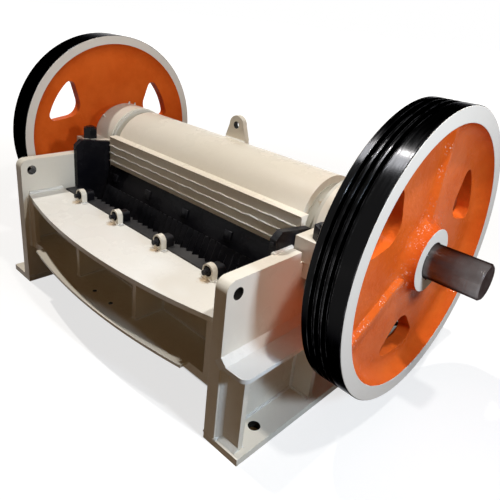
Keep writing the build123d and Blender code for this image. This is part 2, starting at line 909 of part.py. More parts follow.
pieces = {
    "side_plate_right": side_plate(),
    "side_plate_left": mirrored(side_plate()),
    "base_flange_right": base_flange(),
    "base_flange_left": mirrored(base_flange()),
    "side_shelf_right": side_shelf(),
    "side_shelf_left": mirrored(side_shelf(left_shelf_setback)),
    "side_gussets": group(side_gussets(), mirrored(side_gussets(left_shelf_setback))),
    "front_wall": front_wall(),
    "front_top_plate": front_top_plate(),
    "front_lower_rib": front_lower_rib(),
    "front_bow_plate": front_bow_plate(),
    "front_stiffeners": front_stiffeners(),
    "front_end_plates": front_end_plates(),
    "jaw_clamp_lugs": jaw_clamp_lugs(),
    "jaw_clamp_bolts": jaw_clamp_bolts(),
    "jaw_clamp_blocks": jaw_clamp_blocks(),
    "fixed_jaw_plate": fixed_jaw_plate(),
    "cheek_plate_right": cheek_plate(),
    "cheek_plate_left": mirrored(cheek_plate()),
    "bearing_pads": bearing_pads(),
    "bearing_housing_right": bearing_housing(),
    "bearing_housing_left": mirrored(bearing_housing()),
    "bearing_covers": bearing_covers(),
    "main_bearings": main_bearings(),
    "bearing_bolts": bearing_bolts(),
    "rear_beam": rear_beam(),
    "rear_ribs": rear_ribs(),
    "toggle_block": toggle_block(),
    "toggle_plate": toggle_plate(),
    "spring_bracket": spring_bracket(),
    "tension_spring": tension_spring(),
    "eccentric_shaft": eccentric_shaft(),
    "flywheel_right": flywheel(groove_count),
    "flywheel_left": mirrored(flywheel(0)),
    "wheel_keys": wheel_keys(),
    "pitman_casting": pitman_casting(),
    "pitman_bearings": pitman_bearings(),
    "pitman_end_rings": pitman_end_rings(),
    "pitman_guard": pitman_guard(),
    "swing_jaw_plate": swing_jaw_plate(),
    "swing_jaw_wedge": swing_jaw_wedge(),
    "lifting_lug": lifting_lug(),
    "toggle_seat": toggle_seat(),
    "tension_rod": tension_rod(),
    "tension_rod_nut": tension_rod_nut(),
}

os.makedirs("parts", exist_ok=True)
for name, shape in pieces.items():
    shape.label = name
    export_step(shape, f"parts/{name}.step")
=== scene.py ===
"""Looks of a stationary jaw crusher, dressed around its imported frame.

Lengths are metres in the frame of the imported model: +X runs along the shaft to the
grooved wheel, +Y to the toggle side at the back and +Z up from the floor.
"""

import json
import logging
import math
from collections.abc import Iterable, Sequence
from dataclasses import dataclass, field
from enum import Enum
from itertools import pairwise, product

import bpy
from mathutils import Matrix, Vector

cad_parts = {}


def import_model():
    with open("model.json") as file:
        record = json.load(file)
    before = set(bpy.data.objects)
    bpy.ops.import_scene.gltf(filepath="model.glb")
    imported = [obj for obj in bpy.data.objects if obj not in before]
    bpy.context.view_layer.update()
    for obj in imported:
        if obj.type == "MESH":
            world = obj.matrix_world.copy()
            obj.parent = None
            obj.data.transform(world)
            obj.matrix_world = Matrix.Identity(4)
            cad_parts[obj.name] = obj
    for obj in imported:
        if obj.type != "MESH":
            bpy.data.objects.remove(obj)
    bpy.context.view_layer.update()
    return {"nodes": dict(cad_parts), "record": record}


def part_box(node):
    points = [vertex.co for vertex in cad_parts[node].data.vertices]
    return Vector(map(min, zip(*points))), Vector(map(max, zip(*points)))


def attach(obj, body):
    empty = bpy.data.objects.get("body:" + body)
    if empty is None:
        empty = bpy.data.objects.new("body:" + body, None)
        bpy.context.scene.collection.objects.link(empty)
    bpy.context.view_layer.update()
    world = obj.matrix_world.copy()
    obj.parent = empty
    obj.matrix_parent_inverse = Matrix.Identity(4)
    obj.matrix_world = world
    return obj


LOG = logging.getLogger("jaw_crusher")

Point = tuple[float, float, float]
Colour = tuple[float, float, float]
Pair = tuple[float, float]
Span = tuple[float, float]
Hole = tuple[Point, Point, float]
Profile = Sequence[Pair]
Piece = bpy.types.Object
Material = bpy.types.Material
Node = bpy.types.Node
Socket = bpy.types.NodeSocket
Value = Socket | float | Point

SIDES = (-1.0, 1.0)
UP: Point = (0.0, 0.0, 1.0)
FRONT: Point = (0.0, -1.0, 0.0)
SCALAR_RESULTS = ("DISTANCE", "LENGTH", "DOT_PRODUCT")


class Body(Enum):
    """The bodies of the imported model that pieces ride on."""

    FRAME = "frame"
    PITMAN = "pitman"


class Slot(Enum):
    """The record's finishes."""

    CREAM = "cream_paint"
    ORANGE = "orange_paint"
    LINER = "black_liner"
    BLACK = "black_steel"
    STEEL = "bare_steel"


class Coat(Enum):
    """The finishes, by the names of their materials."""

    CREAM = "cream_gloss"
    BARREL_PAINTED_LIGHT = "cream_barrel_painted_light"
    GUARD_PAINTED_LIGHT = "cream_guard_painted_light"
    TOP_PLATE_PAINTED_LIGHT = "cream_top_plate_painted_light"
    RINGS = "cream_rings_painted_light"
    PLATE = "cream_plate"
    FOOT = "cream_foot"
    BOW = "cream_bow"
    EYE = "cream_eye"
    CLAMP = "cream_clamp"
    SHELF_PAINTED_LIGHT = "cream_shelf_painted_light"
    WELD = "cream_weld_painted_light"
    WHEEL = "wheel_paint"
    LINER = "black_liner"
    DUSTY_LINER = "dusty_liner"
    FASTENER = "black_fastener"
    STEEL = "oiled_steel"


class Bench:
    """Modelling by hand, one piece at a time."""

    @staticmethod
    def clear() -> None:
        """Deselect everything."""
        bpy.ops.object.select_all(action="DESELECT")

    @staticmethod
    def hold(piece: Piece) -> None:
        """Make a piece the active and only selected one.

        Args:
            piece: the piece to hold.
        """
        Bench.clear()
        piece.select_set(True)
        bpy.context.view_layer.objects.active = piece

    @staticmethod
    def turned(name: str, profile: Profile, sides: int) -> Piece:
        """Model a turned piece by extruding a disc up its profile.

        Args:
            name: name of the piece.
            profile: height and radius of each step, from the foot up.
            sides: corners of the disc, six for a hexagon.

        Returns:
            The closed piece, standing on the origin.
        """
        Bench.clear()
        foot_height, foot_radius = profile[0]
        bpy.ops.mesh.primitive_circle_add(
            vertices=sides, radius=foot_radius, fill_type="NGON", location=(0, 0, foot_height))
        piece = bpy.context.object
        piece.name = name
        bpy.ops.object.mode_set(mode="EDIT")
        bpy.ops.mesh.select_all(action="SELECT")
        for (low, wide), (high, narrow) in pairwise(profile):
            bpy.ops.mesh.extrude_region_move(TRANSFORM_OT_translate={"value": (0, 0, high - low)})
            ratio = narrow / wide
            bpy.ops.transform.resize(value=(ratio, ratio, 1))
        bpy.ops.mesh.select_all(action="SELECT")
        bpy.ops.mesh.normals_make_consistent(inside=False)
        bpy.ops.object.mode_set(mode="OBJECT")
        bpy.ops.object.transform_apply(location=True, rotation=True, scale=True)
        return piece

    @staticmethod
    def soften(piece: Piece, width: float, angle: float = 35.0) -> None:
        """Round a piece's edges with a bevel and shade it.

        Args:
            piece: the piece to soften.
            width: width of the bevel.
            angle: edges sharper than this many degrees are rounded.
        """
        Bench.hold(piece)
        bevel = piece.modifiers.new("soft_edges", "BEVEL")
        bevel.width = width
        bevel.segments = 2
        bevel.limit_method = "ANGLE"
        bevel.angle_limit = math.radians(angle)
        bpy.ops.object.modifier_apply(modifier=bevel.name)
        bpy.ops.object.shade_smooth_by_angle(angle=math.radians(angle))

    @staticmethod
    def join(name: str, parts: Iterable[Piece]) -> Piece:
        """Join parts into one piece.

        Args:
            name: name of the joined piece.
            parts: the parts, which are used up.

        Returns:
            The joined piece.
        """
        Bench.clear()
        parts = list(parts)
        for part in parts:
            part.select_set(True)
        bpy.context.view_layer.objects.active = parts[0]
        if len(parts) > 1:
            bpy.ops.object.join()
        piece = bpy.context.view_layer.objects.active
        piece.name = name
        piece.data.name = name
        return piece

    @staticmethod
    def twin(pattern: Piece) -> Piece:
        """Copy a piece where it is.

        Args:
            pattern: the piece to copy.

        Returns:
            The copy, with its own mesh.
        """
        twin = pattern.copy()
        twin.data = pattern.data.copy()
        bpy.context.scene.collection.objects.link(twin)
        return twin

    @staticmethod
    def copy(pattern: Piece, place: Point, axis: Point = UP, spin: float = 0.0) -> Piece:
        """Set a copy of a piece, with its own mesh, on a place.

        Args:
            pattern: the piece to copy, standing on the origin along +Z.
            place: where the copy's foot goes.
            axis: the way that the copy's +Z points.
            spin: turn about that axis, in degrees.

        Returns:
            The copy, with its place in its mesh.
        """
        twin = Bench.twin(pattern)
        turn = Vector(axis).to_track_quat("Z", "Y").to_matrix().to_4x4()
        twin.data.transform(Matrix.Translation(place) @ turn @ Matrix.Rotation(math.radians(spin), 4, "Z"))
        return twin

    @staticmethod
    def discard(piece: Piece) -> None:
        """Remove a pattern that has been copied."""
        bpy.data.objects.remove(piece, do_unlink=True)


@dataclass(frozen=True)
class Run:
    """One straight run of weld from start to end."""

    start: Point
    end: Point
    radius: float


@dataclass
class WeldGun:
    """Lays rippled weld beads."""

    pitch: float = 0.0055
    sides: int = 8
    swell: float = 1.14
    lump_size: float = 0.012
    lump_height: float = 0.0016
    crease: float = 80.0
    waver_stretch: float = 2.4
    merge_gap: float = 0.001

    def ripple(self) -> Piece:
        """Model one ripple of a bead.

        Returns:
            The ripple, of unit radius and unit length, open at both ends.
        """
        Bench.clear()
        bpy.ops.mesh.primitive_cylinder_add(
            vertices=self.sides, radius=1.0, depth=1.0, end_fill_type="NOTHING", location=(0, 0, 0.5))
        piece = bpy.context.object
        bpy.ops.object.transform_apply(location=True, rotation=False, scale=False)
        bpy.ops.object.mode_set(mode="EDIT")
        bpy.ops.mesh.select_mode(type="EDGE")
        bpy.ops.mesh.select_all(action="DESELECT")
        bpy.ops.object.mode_set(mode="OBJECT")
        for edge in piece.data.edges:
            low, high = (piece.data.vertices[i].co for i in edge.vertices)
            edge.select = abs(high.z - low.z) > 0.5
        bpy.ops.object.mode_set(mode="EDIT")
        bpy.ops.mesh.subdivide(number_cuts=1)
        bpy.ops.mesh.select_mode(type="VERT")
        bpy.ops.mesh.select_all(action="DESELECT")
        bpy.ops.object.mode_set(mode="OBJECT")
        for corner in piece.data.vertices:
            corner.select = 0.25 < corner.co.z < 0.75
        bpy.ops.object.mode_set(mode="EDIT")
        bpy.ops.transform.resize(value=(self.swell, self.swell, 1))
        bpy.ops.object.mode_set(mode="OBJECT")
        return piece

    def bead(self, pattern: Piece, run: Run) -> Piece:
        """Lay one run as a row of ripples.

        Args:
            pattern: one ripple of unit size.
            run: the run to lay.

        Returns:
            The bead, open at both ends.
        """
        start, end = Vector(run.start), Vector(run.end)
        way = end - start
        count = max(2, round(way.length / self.pitch))
        bead = Bench.twin(pattern)
        Bench.hold(bead)
        row = bead.modifiers.new("row", "ARRAY")
        row.count = count
        row.relative_offset_displace = UP
        row.use_merge_vertices = True
        row.merge_threshold = self.merge_gap
        bpy.ops.object.modifier_apply(modifier=row.name)
        turn = way.to_track_quat("Z", "Y").to_matrix().to_4x4()
        size = Matrix.Diagonal((run.radius, run.radius, way.length / count, 1.0))
        bead.data.transform(Matrix.Translation(start) @ turn @ size)
        return bead

    def lay(self, name: str, runs: Sequence[Run], waver: float = 0.0) -> Piece:
        """Lay several runs as one piece.

        Args:
            name: name of the piece.
            runs: the runs to lay.
            waver: how far the hand strays up and down along the runs.

        Returns:
            The closed, lumpy beads.
        """
        pattern = self.ripple()
        beads = [self.bead(pattern, run) for run in runs]
        Bench.discard(pattern)
        piece = Bench.join(name, beads)
        bpy.ops.object.mode_set(mode="EDIT")
        bpy.ops.mesh.select_mode(type="VERT")
        bpy.ops.mesh.select_all(action="SELECT")
        bpy.ops.mesh.fill_holes(sides=0)
        bpy.ops.mesh.select_all(action="SELECT")
        bpy.ops.mesh.normals_make_consistent(inside=False)
        bpy.ops.object.mode_set(mode="OBJECT")
        self.shake(piece, self.lump_size, self.lump_height, "NORMAL")
        if waver:
            self.shake(piece, self.lump_size * self.waver_stretch, waver, "Z")
        bpy.ops.object.shade_smooth_by_angle(angle=math.radians(self.crease))
        return piece

    @staticmethod
    def shake(piece: Piece, size: float, height: float, way: str) -> None:
        """Push a piece about by a cloud pattern.

        Args:
            piece: the piece to push.
            size: size of the clouds.
            height: how far the strongest push goes.
            way: NORMAL or an axis.
        """
        Bench.hold(piece)
        clouds = bpy.data.textures.new(f"{piece.name}_{way.lower()}", "CLOUDS")
        clouds.noise_scale = size
        clouds.noise_depth = 1
        push = piece.modifiers.new("push", "DISPLACE")
        push.texture = clouds
        push.texture_coords = "LOCAL"
        push.direction = way
        push.strength = height
        push.mid_level = 0.5
        bpy.ops.object.modifier_apply(modifier=push.name)


class Graph:
    """Short hand for wiring shader nodes in one tree."""

    def __init__(self, tree: bpy.types.NodeTree) -> None:
        """Keep the tree that is wired."""
        self.tree = tree

    def node(self, kind: str, **settings: object) -> Node:
        """Add a node.

        Args:
            kind: the node's type without its ShaderNode prefix.
            settings: properties of the node.

        Returns:
            The new node.
        """
        made = self.tree.nodes.new(f"ShaderNode{kind}")
        for key, value in settings.items():
            setattr(made, key, value)
        return made

    def feed(self, socket: Socket, value: Value) -> None:
        """Link a socket to another one, or set its value.

        Args:
            socket: the input that is fed.
            value: the socket, number or vector that feeds it.
        """
        if isinstance(value, Socket):
            self.tree.links.new(value, socket)
        else:
            socket.default_value = value

    def math(self, operation: str, first: Value, second: Value = 0.0, third: Value = 0.0) -> Socket:
        """Work out a number with a Math node.

        Args:
            operation: the node's operation.
            first: its first number.
            second: its second number.
            third: its third number.

        Returns:
            The socket of the result.
        """
        made = self.node("Math", operation=operation)
        for socket, value in zip(made.inputs, (first, second, third)):
            self.feed(socket, value)
        return made.outputs["Value"]

    def vector(self, operation: str, first: Value, second: Value = (0.0, 0.0, 0.0)) -> Socket:
        """Work out a vector, or a length, with a Vector Math node.

        Args:
            operation: the node's operation.
            first: its first vector.
            second: its second vector.

        Returns:
            The socket of the result.
        """
        made = self.node("VectorMath", operation=operation)
        self.feed(made.inputs[0], first)
        self.feed(made.inputs[1], second)
        return made.outputs["Value" if operation in SCALAR_RESULTS else "Vector"]

    def split(self, vector: Value) -> tuple[Socket, Socket, Socket]:
        """Take a vector apart.

        Args:
            vector: the vector.

        Returns:
            The sockets of its three parts.
        """
        made = self.node("SeparateXYZ")
        self.feed(made.inputs[0], vector)
        return made.outputs["X"], made.outputs["Y"], made.outputs["Z"]

    def gather(self, *parts: Value) -> Socket:
        """Join three numbers into a vector.

        Args:
            parts: the three numbers.

        Returns:
            The socket of the vector.
        """
        made = self.node("CombineXYZ")
        for socket, value in zip(made.inputs, parts):
            self.feed(socket, value)
        return made.outputs["Vector"]

    def choose(self, factor: Value, first: Value, second: Value) -> Socket:
        """Mix two numbers.

        Args:
            factor: share of the second number.
            first: number at factor 0.
            second: number at factor 1.

        Returns:
            The socket of the mixed number.
        """
        made = self.node("Mix", data_type="FLOAT")
        for index, value in ((0, factor), (2, first), (3, second)):
            self.feed(made.inputs[index], value)
        return made.outputs[0]

    def noise(self, vector: Value, scale: Value, detail: float = 3.0, rough: float = 0.5) -> Socket:
        """Add a noise pattern.

        Args:
            vector: coordinates that the pattern reads.
            scale: patches a metre.
            detail: octaves of finer pattern.
            rough: weight of the finer octaves.

        Returns:
            The socket of its value, from 0 to 1.
        """
        made = self.node("TexNoise")
        self.feed(made.inputs["Vector"], vector)
        self.feed(made.inputs["Scale"], scale)
        made.inputs["Detail"].default_value = detail
        made.inputs["Roughness"].default_value = rough
        return made.outputs["Fac"]

    def ease(self, value: Value, low: float, high: float, start: float = 0.0, stop: float = 1.0) -> Socket:
        """Ease from start to stop while a value goes from low to high.

        Args:
            value: the value that is followed.
            low: where the easing begins.
            high: where it ends.
            start: result at low and below.
            stop: result at high and above.

        Returns:
            The socket of the result.
        """
        made = self.node("MapRange", interpolation_type="SMOOTHSTEP")
        self.feed(made.inputs["Value"], value)
        for key, number in (("From Min", low), ("From Max", high), ("To Min", start), ("To Max", stop)):
            made.inputs[key].default_value = number
        return made.outputs["Result"]

    def blend(self, factor: Value, first: Value, second: Value) -> Socket:
        """Mix two colours, given as sockets or as red, green and blue.

        Args:
            factor: share of the second colour.
            first: colour at factor 0.
            second: colour at factor 1.

        Returns:
            The socket of the mixed colour.
        """
        made = self.node("Mix", data_type="RGBA")
        self.feed(made.inputs[0], factor)
        for socket, colour in ((made.inputs[6], first), (made.inputs[7], second)):
            self.feed(socket, colour if isinstance(colour, Socket) else (*colour, 1.0))
        return made.outputs[2]

    def place(self) -> Socket:
        """Return the socket of the piece's own coordinates."""
        return self.node("TexCoord").outputs["Object"]


@dataclass(frozen=True)
class EffectGroups:
    """Shader node groups that several finishes share."""

    skin: str = "paint_skin"
    edges: str = "worn_edges"
    stain: str = "stain_patch"
    bore: str = "bore_shade"
    tone_scale: float = 7.0
    tone_span: Span = (0.32, 0.72)
    speck_scale: float = 330.0
    speck_span: Span = (0.62, 0.8)
    edge_turn: Span = (0.90, 0.995)
    edge_gaps: Span = (0.42, 0.66)
    ragged_scale: float = 130.0
    ragged_weight: float = 1.6
    ragged_span: Span = (1.05, 1.75)

    @staticmethod
    def start(name: str, inputs: Sequence[tuple[str, str, Value]],
              outputs: Sequence[tuple[str, str]]) -> tuple[Graph, Node, Node]:
        """Begin a node group.

        Args:
            name: name of the group.
            inputs: name, socket type and default of each input.
            outputs: name and socket type of each output.

        Returns:
            The group's graph, its input node and its output node.
        """
        tree = bpy.data.node_groups.new(name, "ShaderNodeTree")
        for label, kind, value in inputs:
            socket = tree.interface.new_socket(label, in_out="INPUT", socket_type=f"NodeSocket{kind}")
            socket.default_value = value
        for label, kind in outputs:
            tree.interface.new_socket(label, in_out="OUTPUT", socket_type=f"NodeSocket{kind}")
        return Graph(tree), tree.nodes.new("NodeGroupInput"), tree.nodes.new("NodeGroupOutput")

    def build(self) -> None:
        """Build every group once."""
        self.build_skin()
        self.build_edges()
        self.build_stain()
        self.build_bore()

    def build_skin(self) -> None:
        """Build the skin of brushed paint: an uneven height, a blotchy tone and specks of dust."""
        graph, given, out = self.start(
            self.skin,
            [("Peel Scale", "Float", 260.0), ("Wave Scale", "Float", 18.0), ("Peel", "Float", 0.25)],
            [("Height", "Float"), ("Tone", "Float"), ("Dust", "Float")])
        place = graph.place()
        peel = graph.noise(place, given.outputs["Peel Scale"], detail=2.0)
        wave = graph.noise(place, given.outputs["Wave Scale"], detail=2.0)
        graph.feed(out.inputs["Height"], graph.math("MULTIPLY_ADD", peel, given.outputs["Peel"], wave))
        tone = graph.noise(place, self.tone_scale, detail=5.0, rough=0.62)
        graph.feed(out.inputs["Tone"], graph.ease(tone, *self.tone_span))
        specks = graph.noise(place, self.speck_scale, rough=0.7)
        graph.feed(out.inputs["Dust"], graph.ease(specks, *self.speck_span))

    def build_edges(self) -> None:
        """Build a mask of edges, broken up as worn paint is; the wheel uses it for painted highlights along
        its grooves.
        """
        graph, given, out = self.start(
            self.edges, [("Width", "Float", 0.003), ("Break Scale", "Float", 90.0)], [("Edge", "Float")])
        bevel = graph.node("Bevel", samples=4)
        graph.feed(bevel.inputs["Radius"], given.outputs["Width"])
        flat = graph.node("NewGeometry").outputs["Normal"]
        facing = graph.vector("DOT_PRODUCT", bevel.outputs["Normal"], flat)
        turn = graph.ease(facing, *self.edge_turn, start=1.0, stop=0.0)
        gaps = graph.noise(graph.place(), given.outputs["Break Scale"], detail=4.0, rough=0.65)
        graph.feed(out.inputs["Edge"], graph.math("MULTIPLY", turn, graph.ease(gaps, *self.edge_gaps)))

    def build_stain(self) -> None:
        """Build a ragged stain round one centre, mirrored to both sides of the machine."""
        graph, given, out = self.start(
            self.stain, [("Centre", "Vector", (0.0, 0.0, 0.0)), ("Reach", "Float", 0.03)],
            [("Stain", "Float")])
        place = graph.place()
        along, depth, height = graph.split(place)
        folded = graph.gather(graph.math("ABSOLUTE", along), depth, height)
        away = graph.vector("DISTANCE", folded, given.outputs["Centre"])
        share = graph.math("DIVIDE", away, given.outputs["Reach"])
        rags = graph.noise(place, self.ragged_scale, detail=4.0, rough=0.7)
        ragged = graph.math("MULTIPLY_ADD", rags, self.ragged_weight, share)
        graph.feed(out.inputs["Stain"], graph.ease(ragged, *self.ragged_span, start=1.0, stop=0.0))

    def build_bore(self) -> None:
        """Build painted shade for a round hole: the hole's wall and a thin ring round its mouth go dark,
        mirrored to every side of the machine.
        """
        graph, given, out = self.start(
            self.bore, [("Centre", "Vector", (0.0, 0.0, 0.0)), ("Across", "Vector", (0.0, 1.0, 1.0)),
                        ("Reach", "Float", 0.015)], [("Grime", "Float")])
        mirrored = graph.vector("ABSOLUTE", graph.place())
        offset = graph.vector("SUBTRACT", mirrored, given.outputs["Centre"])
        away = graph.vector("LENGTH", graph.vector("MULTIPLY", offset, given.outputs["Across"]))
        graph.feed(out.inputs["Grime"], graph.math("LESS_THAN", away, given.outputs["Reach"]))

    @staticmethod
    def use(graph: Graph, name: str, **values: Value) -> Node:
        """Place a group in a material.

        Args:
            graph: the material's graph.
            name: the group's name.
            values: its inputs, with underscores for spaces.

        Returns:
            The group's node.
        """
        made = graph.node("Group", node_tree=bpy.data.node_groups[name])
        for key, value in values.items():
            graph.feed(made.inputs[key.replace("_", " ").title()], value)
        return made


GROUPS = EffectGroups()


@dataclass(frozen=True)
class Finish:
    """What every finish has: its coat and one Principled shader."""

    coat: Coat
    specular: float = 0.12

    def start(self) -> tuple[Material, Graph, Node]:
        """Begin a material.

        Returns:
            The material, its graph and its shader.
        """
        made = bpy.data.materials.new(self.coat.value)
        made.use_nodes = True
        graph = Graph(made.node_tree)
        shader = made.node_tree.nodes["Principled BSDF"]
        shader.inputs["Specular IOR Level"].default_value = self.specular
        return made, graph, shader

    @staticmethod
    def emboss(graph: Graph, shader: Node, height: Value, depth: float, round_edges: float) -> None:
        """Feed the shader's normal from a height and from rounded edges.

        Args:
            graph: the material's graph.
            shader: the Principled shader.
            height: the height pattern.
            depth: how many metres a height of 1 stands up.
            round_edges: radius that sharp edges shade with.
        """
        bump = graph.node("Bump")
        bump.inputs["Strength"].default_value = 1.0
        bump.inputs["Distance"].default_value = depth
        graph.feed(bump.inputs["Height"], height)
        bevel = graph.node("Bevel", samples=6)
        bevel.inputs["Radius"].default_value = round_edges
        graph.feed(bump.inputs["Normal"], bevel.outputs["Normal"])
        graph.feed(shader.inputs["Normal"], bump.outputs["Normal"])


@dataclass(frozen=True)
class GlossPaint(Finish):
    """Gloss paint brushed over steel plate, with stains round some feet and painted shade in some holes."""

    colour: Colour = (0.80, 0.75, 0.65)
    thin: Colour = (0.74, 0.68, 0.57)
    worn: Colour = (0.36, 0.30, 0.22)
    wear: float = 0.30
    sheen_low: float = 0.20
    sheen_high: float = 0.38
    depth: float = 0.0011
    peel_scale: float = 240.0
    wave_scale: float = 16.0
    round_edges: float = 0.0016
    stains: tuple[tuple[Point, float], ...] = ()
    stain: Colour = (0.45, 0.25, 0.05)
    bores: tuple[Hole, ...] = ()
    painted_hole_shade: Colour = (0.020, 0.017, 0.015)
    peel: float = 0.05
    tone_mix: float = 0.5
    dust_mix: float = 0.10
    stain_mix: float = 0.62
    wear_reach: float = 1.6

    def build(self) -> Material:
        """Wire the material.

        Returns:
            The wired material.
        """
        made, graph, shader = self.start()
        skin = GROUPS.use(graph, GROUPS.skin, peel_scale=self.peel_scale, wave_scale=self.wave_scale,
                          peel=self.peel)
        edge = GROUPS.use(graph, GROUPS.edges, width=self.round_edges * self.wear_reach)
        tone = graph.math("MULTIPLY", skin.outputs["Tone"], self.tone_mix)
        dust = graph.math("MULTIPLY", skin.outputs["Dust"], self.dust_mix)
        colour = graph.blend(dust, graph.blend(tone, self.colour, self.thin), self.worn)
        for centre, reach in self.stains:
            patch = GROUPS.use(graph, GROUPS.stain, centre=centre, reach=reach)
            share = graph.math("MULTIPLY", patch.outputs["Stain"], self.stain_mix)
            colour = graph.blend(share, colour, self.stain)
        colour = graph.blend(graph.math("MULTIPLY", edge.outputs["Edge"], self.wear), colour, self.worn)
        # Painted shade: each listed hole's wall and a thin ring round it take a dark colour.
        for centre, across, reach in self.bores:
            hole = GROUPS.use(graph, GROUPS.bore, centre=centre, across=across, reach=reach)
            colour = graph.blend(hole.outputs["Grime"], colour, self.painted_hole_shade)
        graph.feed(shader.inputs["Base Color"], colour)
        graph.feed(shader.inputs["Roughness"],
                   graph.ease(skin.outputs["Tone"], 0.0, 1.0, self.sheen_low, self.sheen_high))
        self.emboss(graph, shader, skin.outputs["Height"], self.depth, self.round_edges)
        return made


@dataclass(frozen=True)
class WheelZones:
    """Coordinates and masks that a wheel's nodes share."""

    place: Socket
    along: Socket
    radius: Socket
    angle: Socket
    tread: Socket
    faced: Socket
    inboard: Socket


@dataclass(frozen=True)
class WheelPaint(Finish):
    """A wheel's three paints: orange casting, black tread and pale machined faces, with painted highlights
    along the groove edges and painted glints on the spokes and the hub.
    """

    orange: Colour = (0.80, 0.145, 0.020)
    deep: Colour = (0.69, 0.105, 0.012)
    black: Colour = (0.0080, 0.0079, 0.0082)
    grazing: Colour = (0.14, 0.14, 0.15)
    pale: Colour = (0.82, 0.745, 0.66)
    glint_colour: Colour = (0.95, 0.78, 0.68)
    rub_and_highlight_colour: Colour = (0.34, 0.34, 0.36)
    rub_and_highlight_share: float = 0.36
    groove_highlight_width: float = 0.0016
    rub_and_highlight_scale: float = 20.0
    spokes: int = 3
    first_spoke: float = 87.5
    spoke_glints: Span = (0.0156, 0.026)
    hub_glints: Span = (0.108, 0.15)
    glint_speck_scale: float = 260.0
    glint_speck_span: Span = (0.60, 0.68)
    glint_patch_scale: float = 24.0
    glint_patch_span: Span = (0.42, 0.60)
    axis_height: float = 0.466
    inner_face: float = 0.640
    outer_face: float = 0.744
    tread_foot: float = 0.3665
    rim_foot: float = 0.336
    hub_radius: float = 0.0835
    face_margin: float = 0.0007
    wander: float = 0.0016
    wander_scale: float = 60.0
    streak_scale: Point = (300.0, 5.0, 300.0)
    streak_height: float = 0.10
    streak_span: Span = (0.3, 0.75)
    lump_scale: float = 55.0
    lump_height: float = 1.6
    tread_sheen: Span = (0.10, 0.26)
    cast_sheen: Span = (0.18, 0.34)
    faced_sheen: float = 0.15
    depth: float = 0.0012
    round_edges: float = 0.0020
    peel_scale: float = 150.0
    wave_scale: float = 30.0
    peel: float = 0.12

    def build(self) -> Material:
        """Wire the material.

        Returns:
            The wired material.
        """
        made, graph, shader = self.start()
        zones = self.zones(graph)
        skin = GROUPS.use(graph, GROUPS.skin, peel_scale=self.peel_scale, wave_scale=self.wave_scale,
                          peel=self.peel)
        self.tint(graph, shader, zones, skin)
        self.texture(graph, shader, zones, skin)
        return made

    def zones(self, graph: Graph) -> WheelZones:
        """Tell the wheel's tread, machined faces and casting apart.

        Args:
            graph: the material's graph.

        Returns:
            The sockets of the zones and of the wheel's own coordinates.
        """
        place = graph.place()
        along, depth, level = graph.split(place)
        height = graph.math("SUBTRACT", level, self.axis_height)
        squared = graph.math("MULTIPLY", height, height)
        radius = graph.math("SQRT", graph.math("MULTIPLY_ADD", depth, depth, squared))
        centred = graph.math("ADD", radius, -self.wander / 2)
        wavy = graph.math("MULTIPLY_ADD", graph.noise(place, self.wander_scale), self.wander, centred)
        across = graph.math("ABSOLUTE", along)
        outside = graph.math("GREATER_THAN", across, self.outer_face - self.face_margin)
        inside = graph.math("MULTIPLY", graph.math("LESS_THAN", across, self.inner_face + self.face_margin),
                           graph.math("GREATER_THAN", radius, self.rim_foot))
        rim = graph.math("GREATER_THAN", wavy, self.rim_foot)
        hub = graph.math("LESS_THAN", wavy, self.hub_radius)
        turned = graph.math("MULTIPLY", outside, graph.math("MAXIMUM", rim, hub))
        faced = graph.math("MAXIMUM", inside, turned)
        return WheelZones(
            place=place,
            along=along,
            radius=radius,
            angle=graph.math("ARCTAN2", height, depth),
            tread=graph.math("MULTIPLY", graph.math("GREATER_THAN", radius, self.tread_foot),
                            graph.math("SUBTRACT", 1.0, faced)),
            faced=faced,
            inboard=graph.math("LESS_THAN", across, (self.inner_face + self.outer_face) / 2),
        )

    def tint(self, graph: Graph, shader: Node, zones: WheelZones, skin: Node) -> None:
        """Colour the zones, paint highlights on the groove edges, and paint glints on the spokes and the
        hub.

        Args:
            graph: the material's graph.
            shader: the Principled shader.
            zones: the wheel's zones.
            skin: the node of the paint skin.
        """
        casting = graph.blend(skin.outputs["Tone"], self.orange, self.deep)
        # Painted highlight: lighter grey lines along the groove edges stand in for the light caught there.
        edge = GROUPS.use(graph, GROUPS.edges, width=self.groove_highlight_width, break_scale=self.rub_and_highlight_scale)
        rub_and_highlight_share = graph.math("MULTIPLY", edge.outputs["Edge"], self.rub_and_highlight_share)
        painted = graph.blend(zones.tread, casting, graph.blend(rub_and_highlight_share, self.black, self.rub_and_highlight_colour))
        colour = graph.blend(zones.faced, painted, self.pale)
        glint = self.glint(graph, zones)
        # Painted glints: pale metal specks on the spokes and the hub.
        graph.feed(shader.inputs["Base Color"], graph.blend(glint, colour, self.glint_colour))
        graph.feed(shader.inputs["Metallic"], graph.math("MAXIMUM", zones.tread, glint))
        shader.inputs["Specular Tint"].default_value = (*self.grazing, 1.0)

